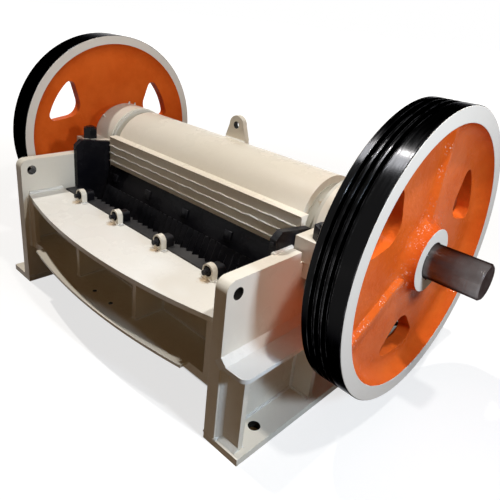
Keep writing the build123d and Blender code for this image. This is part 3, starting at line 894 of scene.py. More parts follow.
    def texture(self, graph: Graph, shader: Node, zones: WheelZones, skin: Node) -> None:
        """Give the casting its lumps and the turned faces their streaks.

        Args:
            graph: the material's graph.
            shader: the Principled shader.
            zones: the wheel's zones.
            skin: the node of the paint skin.
        """
        round_way = graph.gather(zones.along, zones.angle, zones.radius)
        round_way = graph.vector("MULTIPLY", round_way, self.streak_scale)
        streaks = graph.noise(round_way, 1.0, detail=4.0, rough=0.6)
        lumps = graph.noise(zones.place, self.lump_scale, detail=4.0, rough=0.6)
        cast = graph.math("MULTIPLY_ADD", lumps, self.lump_height, skin.outputs["Height"])
        bare = graph.math("MAXIMUM", zones.tread, zones.faced)
        height = graph.choose(bare, cast, graph.math("MULTIPLY", streaks, self.streak_height))
        gloss = graph.ease(streaks, *self.streak_span, *self.tread_sheen)
        dull = graph.ease(skin.outputs["Tone"], 0.0, 1.0, *self.cast_sheen)
        duller = graph.math("MULTIPLY_ADD", zones.faced, self.faced_sheen, dull)
        graph.feed(shader.inputs["Roughness"], graph.choose(zones.tread, duller, gloss))
        self.emboss(graph, shader, height, self.depth, self.round_edges)

    def glint(self, graph: Graph, zones: WheelZones) -> Socket:
        """Paint glints: pale, mirror-like specks on the hub's fillet and the spokes stand in for highlights
        on lumpy paint.

        Args:
            graph: the material's graph.
            zones: the wheel's zones.

        Returns:
            The socket that is 1 on a painted glint.
        """
        hub = graph.ease(zones.radius, *self.hub_glints, start=1.0, stop=0.0)
        turn = graph.math("SUBTRACT", zones.angle, math.radians(self.first_spoke))
        swing = graph.math("COSINE", graph.math("MULTIPLY", turn, float(self.spokes)))
        lean = graph.math("DIVIDE", graph.math("ARCCOSINE", swing), float(self.spokes))
        aside = graph.math("MULTIPLY", zones.radius, graph.math("SINE", lean))
        spoke = graph.ease(aside, *self.spoke_glints, start=1.0, stop=0.0)
        # Painted glints: small specks inside larger patches, on the outer casting only.
        glint_specks = graph.ease(graph.noise(zones.place, self.glint_speck_scale, rough=0.6), *self.glint_speck_span)
        runs = graph.ease(graph.noise(zones.place, self.glint_patch_scale, detail=2.0), *self.glint_patch_span)
        smooth = graph.math("MAXIMUM", graph.math("MAXIMUM", zones.tread, zones.faced), zones.inboard)
        glint_zone = graph.math("MULTIPLY", graph.math("MAXIMUM", hub, spoke), graph.math("SUBTRACT", 1.0, smooth))
        return graph.math("MULTIPLY", glint_zone, graph.math("MULTIPLY", glint_specks, runs))


@dataclass(frozen=True)
class CastBlack(Finish):
    """Black painted casting or fastener, worn brighter on its edges."""

    colour: Colour = (0.005, 0.005, 0.007)
    dusty: Colour = (0.016, 0.015, 0.017)
    rub_and_highlight_colour: Colour = (0.10, 0.095, 0.09)
    rub_and_highlight_share: float = 0.5
    sheen_low: float = 0.28
    sheen_high: float = 0.50
    grain_scale: float = 320.0
    wave_scale: float = 40.0
    peel: float = 0.35
    depth: float = 0.0009
    round_edges: float = 0.0014
    rub_reach: float = 1.5
    rub_and_highlight_scale: float = 140.0

    def build(self) -> Material:
        """Wire the material.

        Returns:
            The wired material.
        """
        made, graph, shader = self.start()
        skin = GROUPS.use(graph, GROUPS.skin, peel_scale=self.grain_scale, wave_scale=self.wave_scale,
                          peel=self.peel)
        edge = GROUPS.use(graph, GROUPS.edges, width=self.round_edges * self.rub_reach,
                          break_scale=self.rub_and_highlight_scale)
        colour = graph.blend(skin.outputs["Tone"], self.colour, self.dusty)
        colour = graph.blend(graph.math("MULTIPLY", edge.outputs["Edge"], self.rub_and_highlight_share), colour, self.rub_and_highlight_colour)
        graph.feed(shader.inputs["Base Color"], colour)
        graph.feed(shader.inputs["Roughness"],
                   graph.ease(skin.outputs["Tone"], 0.0, 1.0, self.sheen_low, self.sheen_high))
        self.emboss(graph, shader, skin.outputs["Height"], self.depth, self.round_edges)
        return made


@dataclass(frozen=True)
class TurnedSteel(Finish):
    """Oiled steel with the rings that turning leaves."""

    colour: Colour = (0.165, 0.152, 0.152)
    oily: Colour = (0.100, 0.082, 0.078)
    grazing: Colour = (0.24, 0.23, 0.23)
    ring_scale: Point = (900.0, 4.0, 4.0)
    film_scale: Point = (14.0, 30.0, 30.0)
    film_span: Span = (0.3, 0.7)
    sheen_span: Span = (0.3, 0.75)
    sheen: Span = (0.15, 0.24)
    depth: float = 0.00018
    round_edges: float = 0.0012

    def build(self) -> Material:
        """Wire the material.

        Returns:
            The wired material.
        """
        made, graph, shader = self.start()
        place = graph.place()
        rings = graph.noise(graph.vector("MULTIPLY", place, self.ring_scale), 1.0, rough=0.6)
        film = graph.noise(graph.vector("MULTIPLY", place, self.film_scale), 1.0, detail=4.0, rough=0.6)
        oil = graph.ease(film, *self.film_span)
        graph.feed(shader.inputs["Base Color"], graph.blend(oil, self.colour, self.oily))
        graph.feed(shader.inputs["Roughness"], graph.ease(film, *self.sheen_span, *self.sheen))
        shader.inputs["Metallic"].default_value = 1.0
        shader.inputs["Specular Tint"].default_value = (*self.grazing, 1.0)
        self.emboss(graph, shader, rings, self.depth, self.round_edges)
        return made


@dataclass
class Finishes:
    """Every material of the machine, built once."""

    lug_places: tuple[float, ...] = (0.109, 0.322)
    lug_foot: Pair = (-0.358, 0.338)
    lug_stain: float = 0.024
    ring_stain: tuple[Point, float] = ((0.4505, -0.060, 0.530), 0.022)
    # Holes whose walls and a thin ring round them get painted shade; below, the clamp lugs' recesses get
    # painted shade too.
    tie_bore: Hole = ((0.0, 0.436, 0.420), (0.0, 1.0, 1.0), 0.0158)
    anchor_bore: Hole = ((0.547, 0.364, 0.0), (1.0, 1.0, 0.0), 0.0163)
    eye_bore: Hole = ((0.0, 0.0, 0.635), (1.0, 0.0, 1.0), 0.0118)
    drain_bore: Hole = ((0.043, 0.462, 0.0), (1.0, 1.0, 0.0), 0.0066)
    clamp_height: float = 0.362
    clamp_reach: float = 0.0146
    made: dict[Coat, Material] = field(default_factory=dict)

    def build(self) -> None:
        """Build the node groups and the materials."""
        GROUPS.build()
        feet = tuple(((place, *self.lug_foot), self.lug_stain) for place in self.lug_places)
        recesses = tuple(((place, 0.0, self.clamp_height), (1.0, 0.0, 1.0), self.clamp_reach)
                         for place in self.lug_places)
        finishes = (
            GlossPaint(Coat.CREAM),
            # Painted light: a slightly whiter copy of the cream for the top-lit barrel, kept free of wear.
            GlossPaint(Coat.BARREL_PAINTED_LIGHT, colour=(0.82, 0.765, 0.655), thin=(0.76, 0.69, 0.58), wear=0.0),
            # Painted light: a lighter, yellower copy of the cream for the guard's front face, which sits in
            # shade.
            GlossPaint(Coat.GUARD_PAINTED_LIGHT, colour=(0.84, 0.775, 0.655), thin=(0.78, 0.71, 0.585)),
            # Painted light: a whiter copy of the cream for the brightly top-lit plate; the stains round the
            # lug feet are real.
            GlossPaint(Coat.TOP_PLATE_PAINTED_LIGHT, colour=(0.84, 0.82, 0.77), thin=(0.80, 0.77, 0.70), wear=0.45,
                       stains=feet),
            # Painted light: a greyer, cooler copy of the cream for rings, covers and grease points seen in
            # the cool side light; the stain is real.
            GlossPaint(Coat.RINGS, specular=0.3, colour=(0.66, 0.64, 0.57), thin=(0.60, 0.57, 0.49),
                       sheen_low=0.10, sheen_high=0.20, depth=0.0006,
                       stains=(self.ring_stain,), stain=(0.35, 0.20, 0.03)),
            # Painted shade in the tie holes, anchor holes, drains, lifting eye and clamp lug recesses.
            GlossPaint(Coat.PLATE, bores=(self.tie_bore,)),
            GlossPaint(Coat.FOOT, bores=(self.anchor_bore,)),
            GlossPaint(Coat.BOW, bores=(self.drain_bore,), painted_hole_shade=(0.008, 0.006, 0.005)),
            GlossPaint(Coat.EYE, bores=(self.eye_bore,)),
            GlossPaint(Coat.CLAMP, bores=recesses, painted_hole_shade=(0.085, 0.060, 0.035)),
            # Painted light: a cooler, greyer copy of the cream for shelf tops that sit in the cool side
            # light.
            GlossPaint(Coat.SHELF_PAINTED_LIGHT, colour=(0.76, 0.765, 0.745), thin=(0.71, 0.70, 0.67)),
            # Painted light: a paler, cooler copy of the cream for weld beads that catch the light.
            GlossPaint(Coat.WELD, colour=(0.80, 0.785, 0.735), thin=(0.76, 0.73, 0.665), depth=0.0016,
                       peel_scale=190.0, wave_scale=60.0, round_edges=0.0010),
            WheelPaint(Coat.WHEEL, specular=0.02),
            CastBlack(Coat.LINER, specular=0.08, sheen_low=0.20, sheen_high=0.42),
            CastBlack(Coat.DUSTY_LINER, specular=0.08, colour=(0.034, 0.034, 0.036),
                      dusty=(0.062, 0.060, 0.060)),
            CastBlack(Coat.FASTENER, depth=0.0005, rub_and_highlight_share=0.7, sheen_low=0.22, sheen_high=0.42),
            TurnedSteel(Coat.STEEL),
        )
        for finish in finishes:
            self.made[finish.coat] = finish.build()

    def give(self, piece: Piece, coat: Coat) -> None:
        """Put one material on every slot of a piece.

        Args:
            piece: the piece to dress.
            coat: its finish.
        """
        if not piece.material_slots:
            piece.data.materials.append(self.made[coat])
        for slot in piece.material_slots:
            slot.material = self.made[coat]


NODE_COAT = {
    Slot.CREAM: Coat.CREAM,
    Slot.ORANGE: Coat.WHEEL,
    Slot.LINER: Coat.LINER,
    Slot.BLACK: Coat.FASTENER,
    Slot.STEEL: Coat.STEEL,
}
SPECIAL_COAT = {
    "front_top_plate": Coat.TOP_PLATE_PAINTED_LIGHT,
    "pitman_end_rings": Coat.RINGS,
    "bearing_covers": Coat.RINGS,
    "side_plate_right": Coat.PLATE,
    "side_plate_left": Coat.PLATE,
    "base_flange_right": Coat.FOOT,
    "base_flange_left": Coat.FOOT,
    "side_shelf_right": Coat.SHELF_PAINTED_LIGHT,
    "side_shelf_left": Coat.SHELF_PAINTED_LIGHT,
    "front_bow_plate": Coat.BOW,
    "lifting_lug": Coat.EYE,
    "jaw_clamp_lugs": Coat.CLAMP,
    "fixed_jaw_plate": Coat.DUSTY_LINER,
    "pitman_casting": Coat.BARREL_PAINTED_LIGHT,
    "pitman_guard": Coat.GUARD_PAINTED_LIGHT,
}


@dataclass(frozen=True)
class HexHead:
    """A hexagon head on its washer, whose other sizes are shares of its radius or height."""

    radius: float
    height: float
    washer_radius: float = 1.25
    washer_height: float = 0.2
    crown_radius: float = 0.86
    crown_height: float = 1.15
    edge: float = 0.06
    washer_sides: int = 24

    def build(self, name: str) -> Piece:
        """Model the head on its washer.

        Args:
            name: name of the pattern.

        Returns:
            The pattern, standing on the origin.
        """
        wide, thick = self.radius * self.washer_radius, self.height * self.washer_height
        crown = (self.height * self.crown_height, self.radius * self.crown_radius)
        washer = Bench.turned(f"{name}_washer", ((0.0, wide), (thick, wide)), self.washer_sides)
        head = Bench.turned(f"{name}_head", ((thick, self.radius), (self.height, self.radius), crown), 6)
        for part in (washer, head):
            Bench.soften(part, self.height * self.edge)
        return Bench.join(name, (washer, head))


@dataclass(frozen=True)
class GreasePoint:
    """A grease nipple: a hexagon foot, a waist and a ball, in shares of its size."""

    size: float = 0.0045
    foot: Profile = ((-1.0, 1.0), (0.7, 1.0), (0.85, 0.8))
    tip: Profile = ((0.8, 0.62), (1.1, 0.55), (1.3, 0.72), (1.6, 0.72), (1.9, 0.45))
    foot_edge: float = 0.08
    tip_edge: float = 0.05
    tip_angle: float = 60.0
    tip_sides: int = 16

    def build(self, name: str) -> Piece:
        """Model the nipple.

        Args:
            name: name of the pattern.

        Returns:
            The pattern, standing on the origin.
        """
        foot = Bench.turned(f"{name}_foot", self.scaled(self.foot), 6)
        tip = Bench.turned(f"{name}_tip", self.scaled(self.tip), self.tip_sides)
        Bench.soften(foot, self.size * self.foot_edge)
        Bench.soften(tip, self.size * self.tip_edge, self.tip_angle)
        return Bench.join(name, (foot, tip))

    def scaled(self, profile: Profile) -> Profile:
        """Return a profile at the nipple's size."""
        return tuple((height * self.size, radius * self.size) for height, radius in profile)


@dataclass
class SubAssembly:
    """A group of new pieces that ride on one body."""

    finishes: Finishes

    def keep(self, piece: Piece, body: Body, slot: Slot, coat: Coat) -> None:
        """Ride a piece on its body and dress it.

        Args:
            piece: the finished piece.
            body: the body that carries it.
            slot: the record's slot that its finish belongs to; not used.
            coat: its finish.
        """
        piece.data.materials.clear()
        self.finishes.give(piece, coat)
        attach(piece, body.value)
        LOG.info("%s rides on %s", piece.name, body.value)


@dataclass
class SideFrames(SubAssembly):
    """Welds of the two side frames."""

    bead: float = 0.0055
    shelf_bead: float = 0.018
    gusset_bead: float = 0.012
    lip_bead: float = 0.006
    lip: Span = (-0.290, -0.216)
    lip_sink: float = 0.001
    inner_share: float = 0.6
    gusset_inset: float = 0.018
    gusset_fronts: tuple[float, ...] = (-0.178, 0.162, 0.439)
    gusset_thick: float = 0.016
    gusset_reach: float = 0.577

    def build(self, gun: WeldGun, broad: WeldGun) -> None:
        """Lay the welds along gussets, feet and shelves.

        Args:
            gun: lays narrow beads.
            broad: lays flat fillets.
        """
        runs, fillets = [], []
        for side, name in zip(SIDES, ("left", "right")):
            low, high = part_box(f"side_plate_{name}")
            shelf_low, shelf_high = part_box(f"side_shelf_{name}")
            foot, front, back = low[2], low[1], high[1]
            outer, inner = (high[0], low[0]) if side > 0 else (low[0], high[0])
            under, top = shelf_low[2], shelf_high[2]
            reach = side * self.gusset_reach
            for start in (shelf_low[1] + self.gusset_inset, *self.gusset_fronts):
                for depth in (start, start + self.gusset_thick):
                    runs += [
                        Run((outer, depth, foot), (outer, depth, under), self.bead),
                        Run((outer, depth, foot), (reach, depth, foot), self.bead),
                        Run((outer, depth, under), (reach, depth, under), self.bead),
                    ]
            start = shelf_low[1] + self.gusset_inset
            fillets += [
                Run((outer, start, foot), (outer, start, under), self.gusset_bead),
                Run((outer, start, foot), (reach, start, foot), self.gusset_bead),
            ]
            runs += [
                Run((outer, front, foot), (outer, back, foot), self.bead),
                Run((inner, front, foot), (inner, back, foot), self.bead * self.inner_share),
            ]
            fillets.append(Run((outer, shelf_low[1], top), (outer, shelf_high[1], top), self.shelf_bead))
        low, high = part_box("side_plate_right")
        edge, top = low[0] + self.lip_sink, high[2]
        start, end = self.lip
        runs.append(Run((edge, start, top), (edge, end, top), self.lip_bead))
        self.keep(gun.lay("side_frame_welds", runs), Body.FRAME, Slot.CREAM, Coat.WELD)
        self.keep(broad.lay("shelf_welds", fillets), Body.FRAME, Slot.CREAM, Coat.WELD)


@dataclass
class FrontWorks(SubAssembly):
    """Welds of the front wall, its stiffeners and the clamp lugs, and the cheek studs."""

    bead: float = 0.0040
    end_bead: float = 0.0075
    end_front: float = -0.452
    bar_thick: float = 0.015
    lug_half: float = 0.0195
    lug_places: tuple[float, ...] = (-0.322, -0.109, 0.109, 0.322)
    stud_height: float = 0.478
    stud_profile: Profile = ((-0.003, 0.0065), (0.003, 0.0065), (0.0042, 0.0050))
    stud_sides: int = 20
    stud_edge: float = 0.0005

    def build(self, gun: WeldGun) -> None:
        """Lay the welds that show at the front and set the studs.

        Args:
            gun: lays the beads.
        """
        self.lay_wall_welds(gun)
        self.lay_lug_welds(gun)
        self.set_studs()

    def lay_wall_welds(self, gun: WeldGun) -> None:
        """Lay the welds between the front wall, its plates and its stiffeners.

        Args:
            gun: lays the beads.
        """
        plate_low, plate_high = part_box("front_top_plate")
        rib_low, rib_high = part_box("front_lower_rib")
        bar_low, bar_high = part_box("front_stiffeners")
        end, under, top = plate_high[0], plate_low[2], plate_high[2]
        front, wall, step = rib_low[1], rib_high[1], rib_high[2]
        runs = []
        for side in SIDES:
            plate = side * end
            runs += [
                Run((plate, self.end_front, top), (plate, plate_high[1], top), self.end_bead),
                Run((plate, front, rib_low[2]), (plate, front, under), self.bead),
                Run((plate, front, step), (plate, wall, step), self.bead),
            ]
            for face in (bar_high[0], bar_high[0] - self.bar_thick):
                bar = side * face
                runs += [
                    Run((bar, wall, step), (bar, wall, under), self.bead),
                    Run((bar, bar_low[1], step), (bar, wall, step), self.bead),
                    Run((bar, bar_low[1], under), (bar, wall, under), self.bead),
                ]
        runs += [Run((-end, wall, height), (end, wall, height), self.bead) for height in (step, under)]
        self.keep(gun.lay("front_welds", runs), Body.FRAME, Slot.CREAM, Coat.WELD)

    def lay_lug_welds(self, gun: WeldGun) -> None:
        """Lay the welds round the feet of the clamp lugs.

        Args:
            gun: lays the beads.
        """
        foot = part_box("front_top_plate")[1][2]
        (_, front, _), (_, back, _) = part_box("jaw_clamp_lugs")
        runs = []
        for place in self.lug_places:
            left, right = place - self.lug_half, place + self.lug_half
            runs += [
                Run((left, front, foot), (right, front, foot), self.bead),
                Run((left, front, foot), (left, back, foot), self.bead),
                Run((right, front, foot), (right, back, foot), self.bead),
            ]
        self.keep(gun.lay("clamp_lug_welds", runs), Body.FRAME, Slot.CREAM, Coat.TOP_PLATE_PAINTED_LIGHT)

    def set_studs(self) -> None:
        """Set a stud in the front of each cheek plate."""
        low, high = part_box("cheek_plate_right")
        middle = (low[0] + high[0]) / 2
        stud = Bench.turned("cheek_stud", self.stud_profile, self.stud_sides)
        Bench.soften(stud, self.stud_edge)
        studs = [Bench.copy(stud, (side * middle, low[1], self.stud_height), FRONT) for side in SIDES]
        Bench.discard(stud)
        self.keep(Bench.join("cheek_studs", studs), Body.FRAME, Slot.LINER, Coat.FASTENER)


@dataclass
class RearWorks(SubAssembly):
    """Welds of the rear beam and its ribs."""

    bead: float = 0.0045

    def build(self, gun: WeldGun) -> None:
        """Lay the welds at the back.

        Args:
            gun: lays the beads.
        """
        beam_low, beam_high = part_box("rear_beam")
        rib_low, rib_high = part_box("rear_ribs")
        end, back = beam_high[0], beam_high[1]
        runs = []
        for side, height in product(SIDES, (beam_low[2], beam_high[2])):
            runs.append(Run((side * end, beam_low[1], height), (side * end, rib_high[1], height), self.bead))
        for side in SIDES:
            runs.append(Run((side * end, back, rib_low[2]), (side * end, back, rib_high[2]), self.bead))
        piece = gun.lay("rear_welds", runs)
        self.keep(piece, Body.FRAME, Slot.CREAM, Coat.WELD)


@dataclass
class Bearings(SubAssembly):
    """Cover bolts and grease points of the main bearings."""

    axis_height: float = 0.466
    housing_radius: float = 0.132
    circle: float = 0.112
    bolts: int = 8
    bolt_across: float = 0.0105
    bolt_height: float = 0.0085
    bolt_spin: float = 17.0
    nub_places: tuple[Pair, ...] = ((0.572, 84.0), (0.568, 74.0), (0.572, 137.0))

    def build(self) -> None:
        """Set the bolts and the grease points."""
        self.set_cover_bolts()
        self.set_grease_points()

    def set_cover_bolts(self) -> None:
        """Set a circle of bolts in each bearing cover."""
        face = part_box("bearing_covers")[1][0]
        bolt = HexHead(self.bolt_across, self.bolt_height).build("cover_bolt")
        heads = []
        for side, index in product(SIDES, range(self.bolts)):
            turn = math.tau * (index + 0.5) / self.bolts
            height = self.axis_height + self.circle * math.sin(turn)
            place = (side * face, self.circle * math.cos(turn), height)
            heads.append(Bench.copy(bolt, place, (side, 0.0, 0.0), spin=self.bolt_spin * index))
        Bench.discard(bolt)
        self.keep(Bench.join("cover_bolts", heads), Body.FRAME, Slot.BLACK, Coat.FASTENER)

    def set_grease_points(self) -> None:
        """Set the grease points on top of the housings."""
        nub = GreasePoint().build("housing_nub")
        nubs = []
        for side, (along, degrees) in product(SIDES, self.nub_places):
            turn = math.radians(degrees)
            way = (0.0, math.cos(turn), math.sin(turn))
            height = self.axis_height + self.housing_radius * way[2]
            nubs.append(Bench.copy(nub, (side * along, self.housing_radius * way[1], height), way))
        Bench.discard(nub)
        self.keep(Bench.join("housing_grease_points", nubs), Body.FRAME, Slot.CREAM, Coat.RINGS)


@dataclass
class Pitman(SubAssembly):
    """Weld lines, grease points and jaw bolts of the pitman."""

    axis_height: float = 0.459
    line_heights: tuple[float, ...] = (0.480, 0.453)
    foot_line: float = 0.4235
    line_radius: float = 0.0024
    line_waver: float = 0.006
    line_inset: float = 0.004
    line_sink: float = 0.002
    lug_bead: float = 0.0042
    jaw_bolts: tuple[float, ...] = (-0.40, -0.20, 0.0, 0.20, 0.40)
    jaw_bolt_height: float = 0.366
    jaw_bolt_profile: Profile = ((-0.004, 0.021), (0.005, 0.021), (0.007, 0.0189))
    jaw_bolt_edge: float = 0.0008
    wedge_face: Pair = (-0.149, -0.167)
    wedge_way: Point = (0.0, -0.971, 0.239)
    nipple_place: Point = (0.448, -0.067, 0.527)

    def build(self, gun: WeldGun) -> None:
        """Lay the pitman's welds, and set its bolts and grease points.

        Args:
            gun: lays the beads.
        """
        self.lay_guard_lines(gun)
        self.lay_lug_welds(gun)
        self.set_jaw_bolts()
        self.set_nipples()

    def lay_guard_lines(self, gun: WeldGun) -> None:
        """Lay the guard's wavering lines and the straight one at its foot.

        Args:
            gun: lays the beads.
        """
        low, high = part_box("pitman_guard")
        end, face = high[0] - self.line_inset, low[1] + self.line_sink
        runs = [Run((-end, face, height), (end, face, height), self.line_radius)
                for height in (*self.line_heights, self.foot_line)]
        lines = gun.lay("guard_weld_lines", runs[:-1], self.line_waver)
        self.keep(lines, Body.PITMAN, Slot.CREAM, Coat.WELD)
        self.keep(gun.lay("guard_foot_line", runs[-1:]), Body.PITMAN, Slot.CREAM, Coat.WELD)

    def lay_lug_welds(self, gun: WeldGun) -> None:
        """Lay the welds between the lifting lug and the barrel.

        Args:
            gun: lays the beads.
        """
        low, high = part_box("lifting_lug")
        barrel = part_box("pitman_casting")[1][1]
        runs = []
        for depth in (low[1], high[1]):
            foot = self.axis_height + math.sqrt(barrel ** 2 - depth ** 2)
            runs.append(Run((low[0], depth, foot), (high[0], depth, foot), self.lug_bead))
        self.keep(gun.lay("lifting_lug_welds", runs), Body.PITMAN, Slot.CREAM, Coat.WELD)

    def set_jaw_bolts(self) -> None:
        """Set the square heads of the jaw bolts in the wedge's face."""
        low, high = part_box("swing_jaw_wedge")
        share = (high[2] - self.jaw_bolt_height) / (high[2] - low[2])
        top, foot = self.wedge_face
        depth = top + (foot - top) * share
        bolt = Bench.turned("jaw_bolt", self.jaw_bolt_profile, 4)
        Bench.soften(bolt, self.jaw_bolt_edge)
        heads = [Bench.copy(bolt, (along, depth, self.jaw_bolt_height), self.wedge_way, spin=45.0)
                 for along in self.jaw_bolts]
        Bench.discard(bolt)
        self.keep(Bench.join("jaw_bolt_heads", heads), Body.PITMAN, Slot.LINER, Coat.FASTENER)

    def set_nipples(self) -> None:
        """Set a grease point on each end ring."""
        nub = GreasePoint().build("ring_nipple")
        along, depth, height = self.nipple_place
        way = tuple(Vector((0.0, depth, height - self.axis_height)).normalized())
        nubs = [Bench.copy(nub, (side * along, depth, height), way) for side in SIDES]
        Bench.discard(nub)
        self.keep(Bench.join("ring_grease_points", nubs), Body.PITMAN, Slot.CREAM, Coat.RINGS)


@dataclass(frozen=True)
class Panel:
    """A lamp panel: where it hangs, what it aims at, and its light there."""

    name: str
    place: Point
    aim: Point
    size: float
    level: float
    colour: Colour
    diffused: bool = True
    mirrored: bool = True
    spread: float = 180.0


@dataclass
class Studio:
    """Camera, lamps, floor and backdrop."""

    eye: Point = (1.14915, -1.148514, 0.995632)
    turn: Point = (66.9843, -5.3837, 44.1633)
    lens: float = 36.473
    sensor: float = 36.0
    shift: Pair = (0.00973, -0.0575)
    floor_size: float = 60.0
    room: Colour = (0.062, 0.035, 0.015)
    bounce: Colour = (0.115, 0.070, 0.030)
    floor_glow: float = 0.72
    floor_pale: float = 0.34
    glow_near: float = 1.2
    glow_far: float = 4.5
    shade_front: Span = (-0.348, -0.334)
    shade_back: Span = (-0.10, 0.30)
    left_towards: Point = (-0.40, -0.015, 0.915)
    left_level: float = 0.57
    left_spread: float = 2.0
    left_colour: Colour = (1.0, 0.97, 0.92)
    panels: tuple[Panel, ...] = (
        Panel("overhead_right", (1.20, -0.45, 2.30), (0.20, -0.30, 0.40), 0.09, 0.46, (1.0, 0.98, 0.94)),
        Panel("side_right", (2.05, -0.375, 1.20), (0.51, -0.30, 0.35), 0.23, 0.64, (0.70, 0.86, 1.05)),
        Panel("tread_gleam", (-0.20, -0.48, 2.52), (0.69, -0.25, 0.75), 0.50, 1.20, (0.96, 0.98, 1.0),
              diffused=False),
        Panel("wheel_glow", (0.634, -0.22, 0.35), (0.513, -0.23, 0.34), 0.24, 0.10, (1.0, 0.15, 0.02),
              mirrored=False, spread=120.0),
    )

    def build(self) -> None:
        """Build the whole studio."""
        self.build_camera()
        self.build_lamps()
        self.build_world()
        self.build_floor()
        bpy.context.scene.view_settings.view_transform = "Standard"

    def build_camera(self) -> None:
        """Stand the camera where the reference view was taken."""
        data = bpy.data.cameras.new("view_camera")
        data.sensor_width = self.sensor
        data.lens = self.lens
        data.shift_x, data.shift_y = self.shift
        camera = bpy.data.objects.new("view_camera", data)
        camera.location = self.eye
        camera.rotation_euler = [math.radians(angle) for angle in self.turn]
        bpy.context.scene.collection.objects.link(camera)
        bpy.context.scene.camera = camera

    def build_lamps(self) -> None:
        """Hang a distant lamp and the nearer panels."""
        data = bpy.data.lights.new("overhead_left", "SUN")
        data.energy = self.left_level * math.pi
        data.angle = math.radians(self.left_spread)
        self.hang(data, self.left_colour, self.left_towards, (0.0, 0.0, 0.0))
        for panel in self.panels:
            data = bpy.data.lights.new(panel.name, "AREA")
            data.size = panel.size
            data.spread = math.radians(panel.spread)
            way = Vector(panel.place) - Vector(panel.aim)
            data.energy = panel.level * math.pi ** 2 * way.length_squared
            lamp = self.hang(data, panel.colour, way, panel.place)
            lamp.visible_diffuse = panel.diffused
            lamp.visible_glossy = panel.mirrored

    @staticmethod
    def hang(data: bpy.types.Light, colour: Colour, towards: Point | Vector,
             place: Point | Vector) -> bpy.types.Object:
        """Hang a lamp.

        Args:
            data: the lamp's settings.
            colour: its colour.
            towards: the way from the machine to the lamp.
            place: where it hangs.

        Returns:
            The lamp.
        """
        data.color = colour
        lamp = bpy.data.objects.new(data.name, data)
        lamp.rotation_euler = Vector(towards).to_track_quat("Z", "Y").to_euler()
        lamp.location = place
        lamp.visible_camera = False
        bpy.context.scene.collection.objects.link(lamp)
        return lamp

    @staticmethod
    def seen(graph: Graph) -> Socket:
        """Tell the rays that show the backdrop, straight, mirrored or through glass.

        Args:
            graph: graph of the floor or of the room.

        Returns:
            The socket that is 1 on those rays.
        """
        path = graph.node("LightPath")
        shown = graph.math("MAXIMUM", path.outputs["Is Camera Ray"], path.outputs["Is Glossy Ray"])
        return graph.math("MAXIMUM", shown, path.outputs["Is Transmission Ray"])

    def build_world(self) -> None:
        """Light a dim, warm room that shows as a white backdrop."""
        world = bpy.data.worlds.new("studio_room")
        world.use_nodes = True
        bpy.context.scene.world = world
        graph = Graph(world.node_tree)
        colour = graph.blend(self.seen(graph), self.room, (1.0, 1.0, 1.0))
        graph.feed(world.node_tree.nodes["Background"].inputs["Color"], colour)

    def painted_floor_shadow(self, graph: Graph) -> Socket:
        """Mask the painted shadow on the floor under the flanges and the belly of the machine, which shows
        through the anchor holes and the drains.

        Args:
            graph: graph of the floor's material.

        Returns:
            The socket that is 1 on that floor.
        """
        low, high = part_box("base_flange_right")
        along, depth, _ = graph.split(graph.place())
        across = graph.math("ABSOLUTE", along)
        foot = graph.math("MULTIPLY", graph.math("GREATER_THAN", across, low[0]),
                         graph.math("LESS_THAN", across, high[0]))
        middle, half = (low[1] + high[1]) / 2, (high[1] - low[1]) / 2
        away = graph.math("ABSOLUTE", graph.math("SUBTRACT", depth, middle))
        foot = graph.math("MULTIPLY", foot, graph.math("LESS_THAN", away, half))
        belly_shadow = graph.math("MULTIPLY", graph.ease(depth, *self.shade_front),
                          graph.ease(depth, *self.shade_back, start=1.0, stop=0.0))
        belly_shadow = graph.math("MULTIPLY", belly_shadow, graph.math("LESS_THAN", across, low[0]))
        return graph.math("MAXIMUM", foot, belly_shadow)

    def build_floor(self) -> None:
        """Lay a pale floor that keeps the machine's shadow."""
        Bench.clear()
        bpy.ops.mesh.primitive_plane_add(size=self.floor_size)
        floor = bpy.context.object
        floor.name = "studio_floor"
        floor.data.materials.append(self.floor_material())

    def floor_material(self) -> Material:
        """Wire a floor that shows pale, with a painted shadow under the machine, and throws back only dim,
        warm light.

        Returns:
            The floor's material.
        """
        made = bpy.data.materials.new("pale_floor")
        made.use_nodes = True
        tree = made.node_tree
        tree.nodes.clear()
        graph = Graph(tree)
        glow = graph.node("Emission")
        away = graph.vector("LENGTH", graph.place())
        brightness = graph.ease(away, self.glow_near, self.glow_far, self.floor_glow, 1.0)
        # Painted shadow: the floor under the machine loses its glow and turns dark.
        under = self.painted_floor_shadow(graph)
        clear = graph.math("SUBTRACT", 1.0, under)
        graph.feed(glow.inputs["Strength"], graph.math("MULTIPLY", brightness, clear))
        pale = graph.node("BsdfDiffuse")
        shade = (self.floor_pale, self.floor_pale, self.floor_pale)
        graph.feed(pale.inputs["Color"], graph.blend(under, shade, self.bounce))
        shown = graph.node("AddShader")
        graph.feed(shown.inputs[0], glow.outputs["Emission"])
        graph.feed(shown.inputs[1], pale.outputs["BSDF"])
        dark = graph.node("BsdfDiffuse")
        dark.inputs["Color"].default_value = (*self.bounce, 1.0)
        mix = graph.node("MixShader")
        graph.feed(mix.inputs[0], self.seen(graph))
        graph.feed(mix.inputs[1], dark.outputs["BSDF"])
        graph.feed(mix.inputs[2], shown.outputs["Shader"])
        out = graph.node("OutputMaterial")
        graph.feed(out.inputs["Surface"], mix.outputs["Shader"])
        return made


def dress_nodes(frame: dict, finishes: Finishes) -> None:
    """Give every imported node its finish.

    Args:
        finishes: the machine's materials.
    """
    for part in frame["record"]["subparts"]:
        name = part["node"]
        coat = SPECIAL_COAT.get(name, NODE_COAT[Slot(part["material_slot"])])
        finishes.give(frame["nodes"][name], coat)
        LOG.info("%s wears %s", name, coat.value)


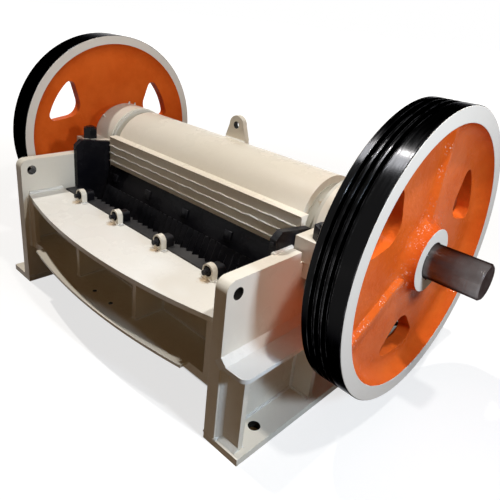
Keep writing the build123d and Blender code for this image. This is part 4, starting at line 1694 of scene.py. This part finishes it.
def main() -> None:
    """Load the frame, build and dress the machine, and set up the studio."""
    logging.basicConfig(level=logging.INFO, format="%(name)s: %(message)s")
    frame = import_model()
    finishes = Finishes()
    finishes.build()
    dress_nodes(frame, finishes)
    gun = WeldGun()
    broad = WeldGun(pitch=0.011, sides=4, swell=1.0, lump_size=0.022, lump_height=0.0016, crease=40.0)
    SideFrames(finishes).build(gun, broad)
    FrontWorks(finishes).build(gun)
    RearWorks(finishes).build(gun)
    Bearings(finishes).build()
    Pitman(finishes).build(gun)
    Studio().build()


if __name__ == "__main__":
    main()
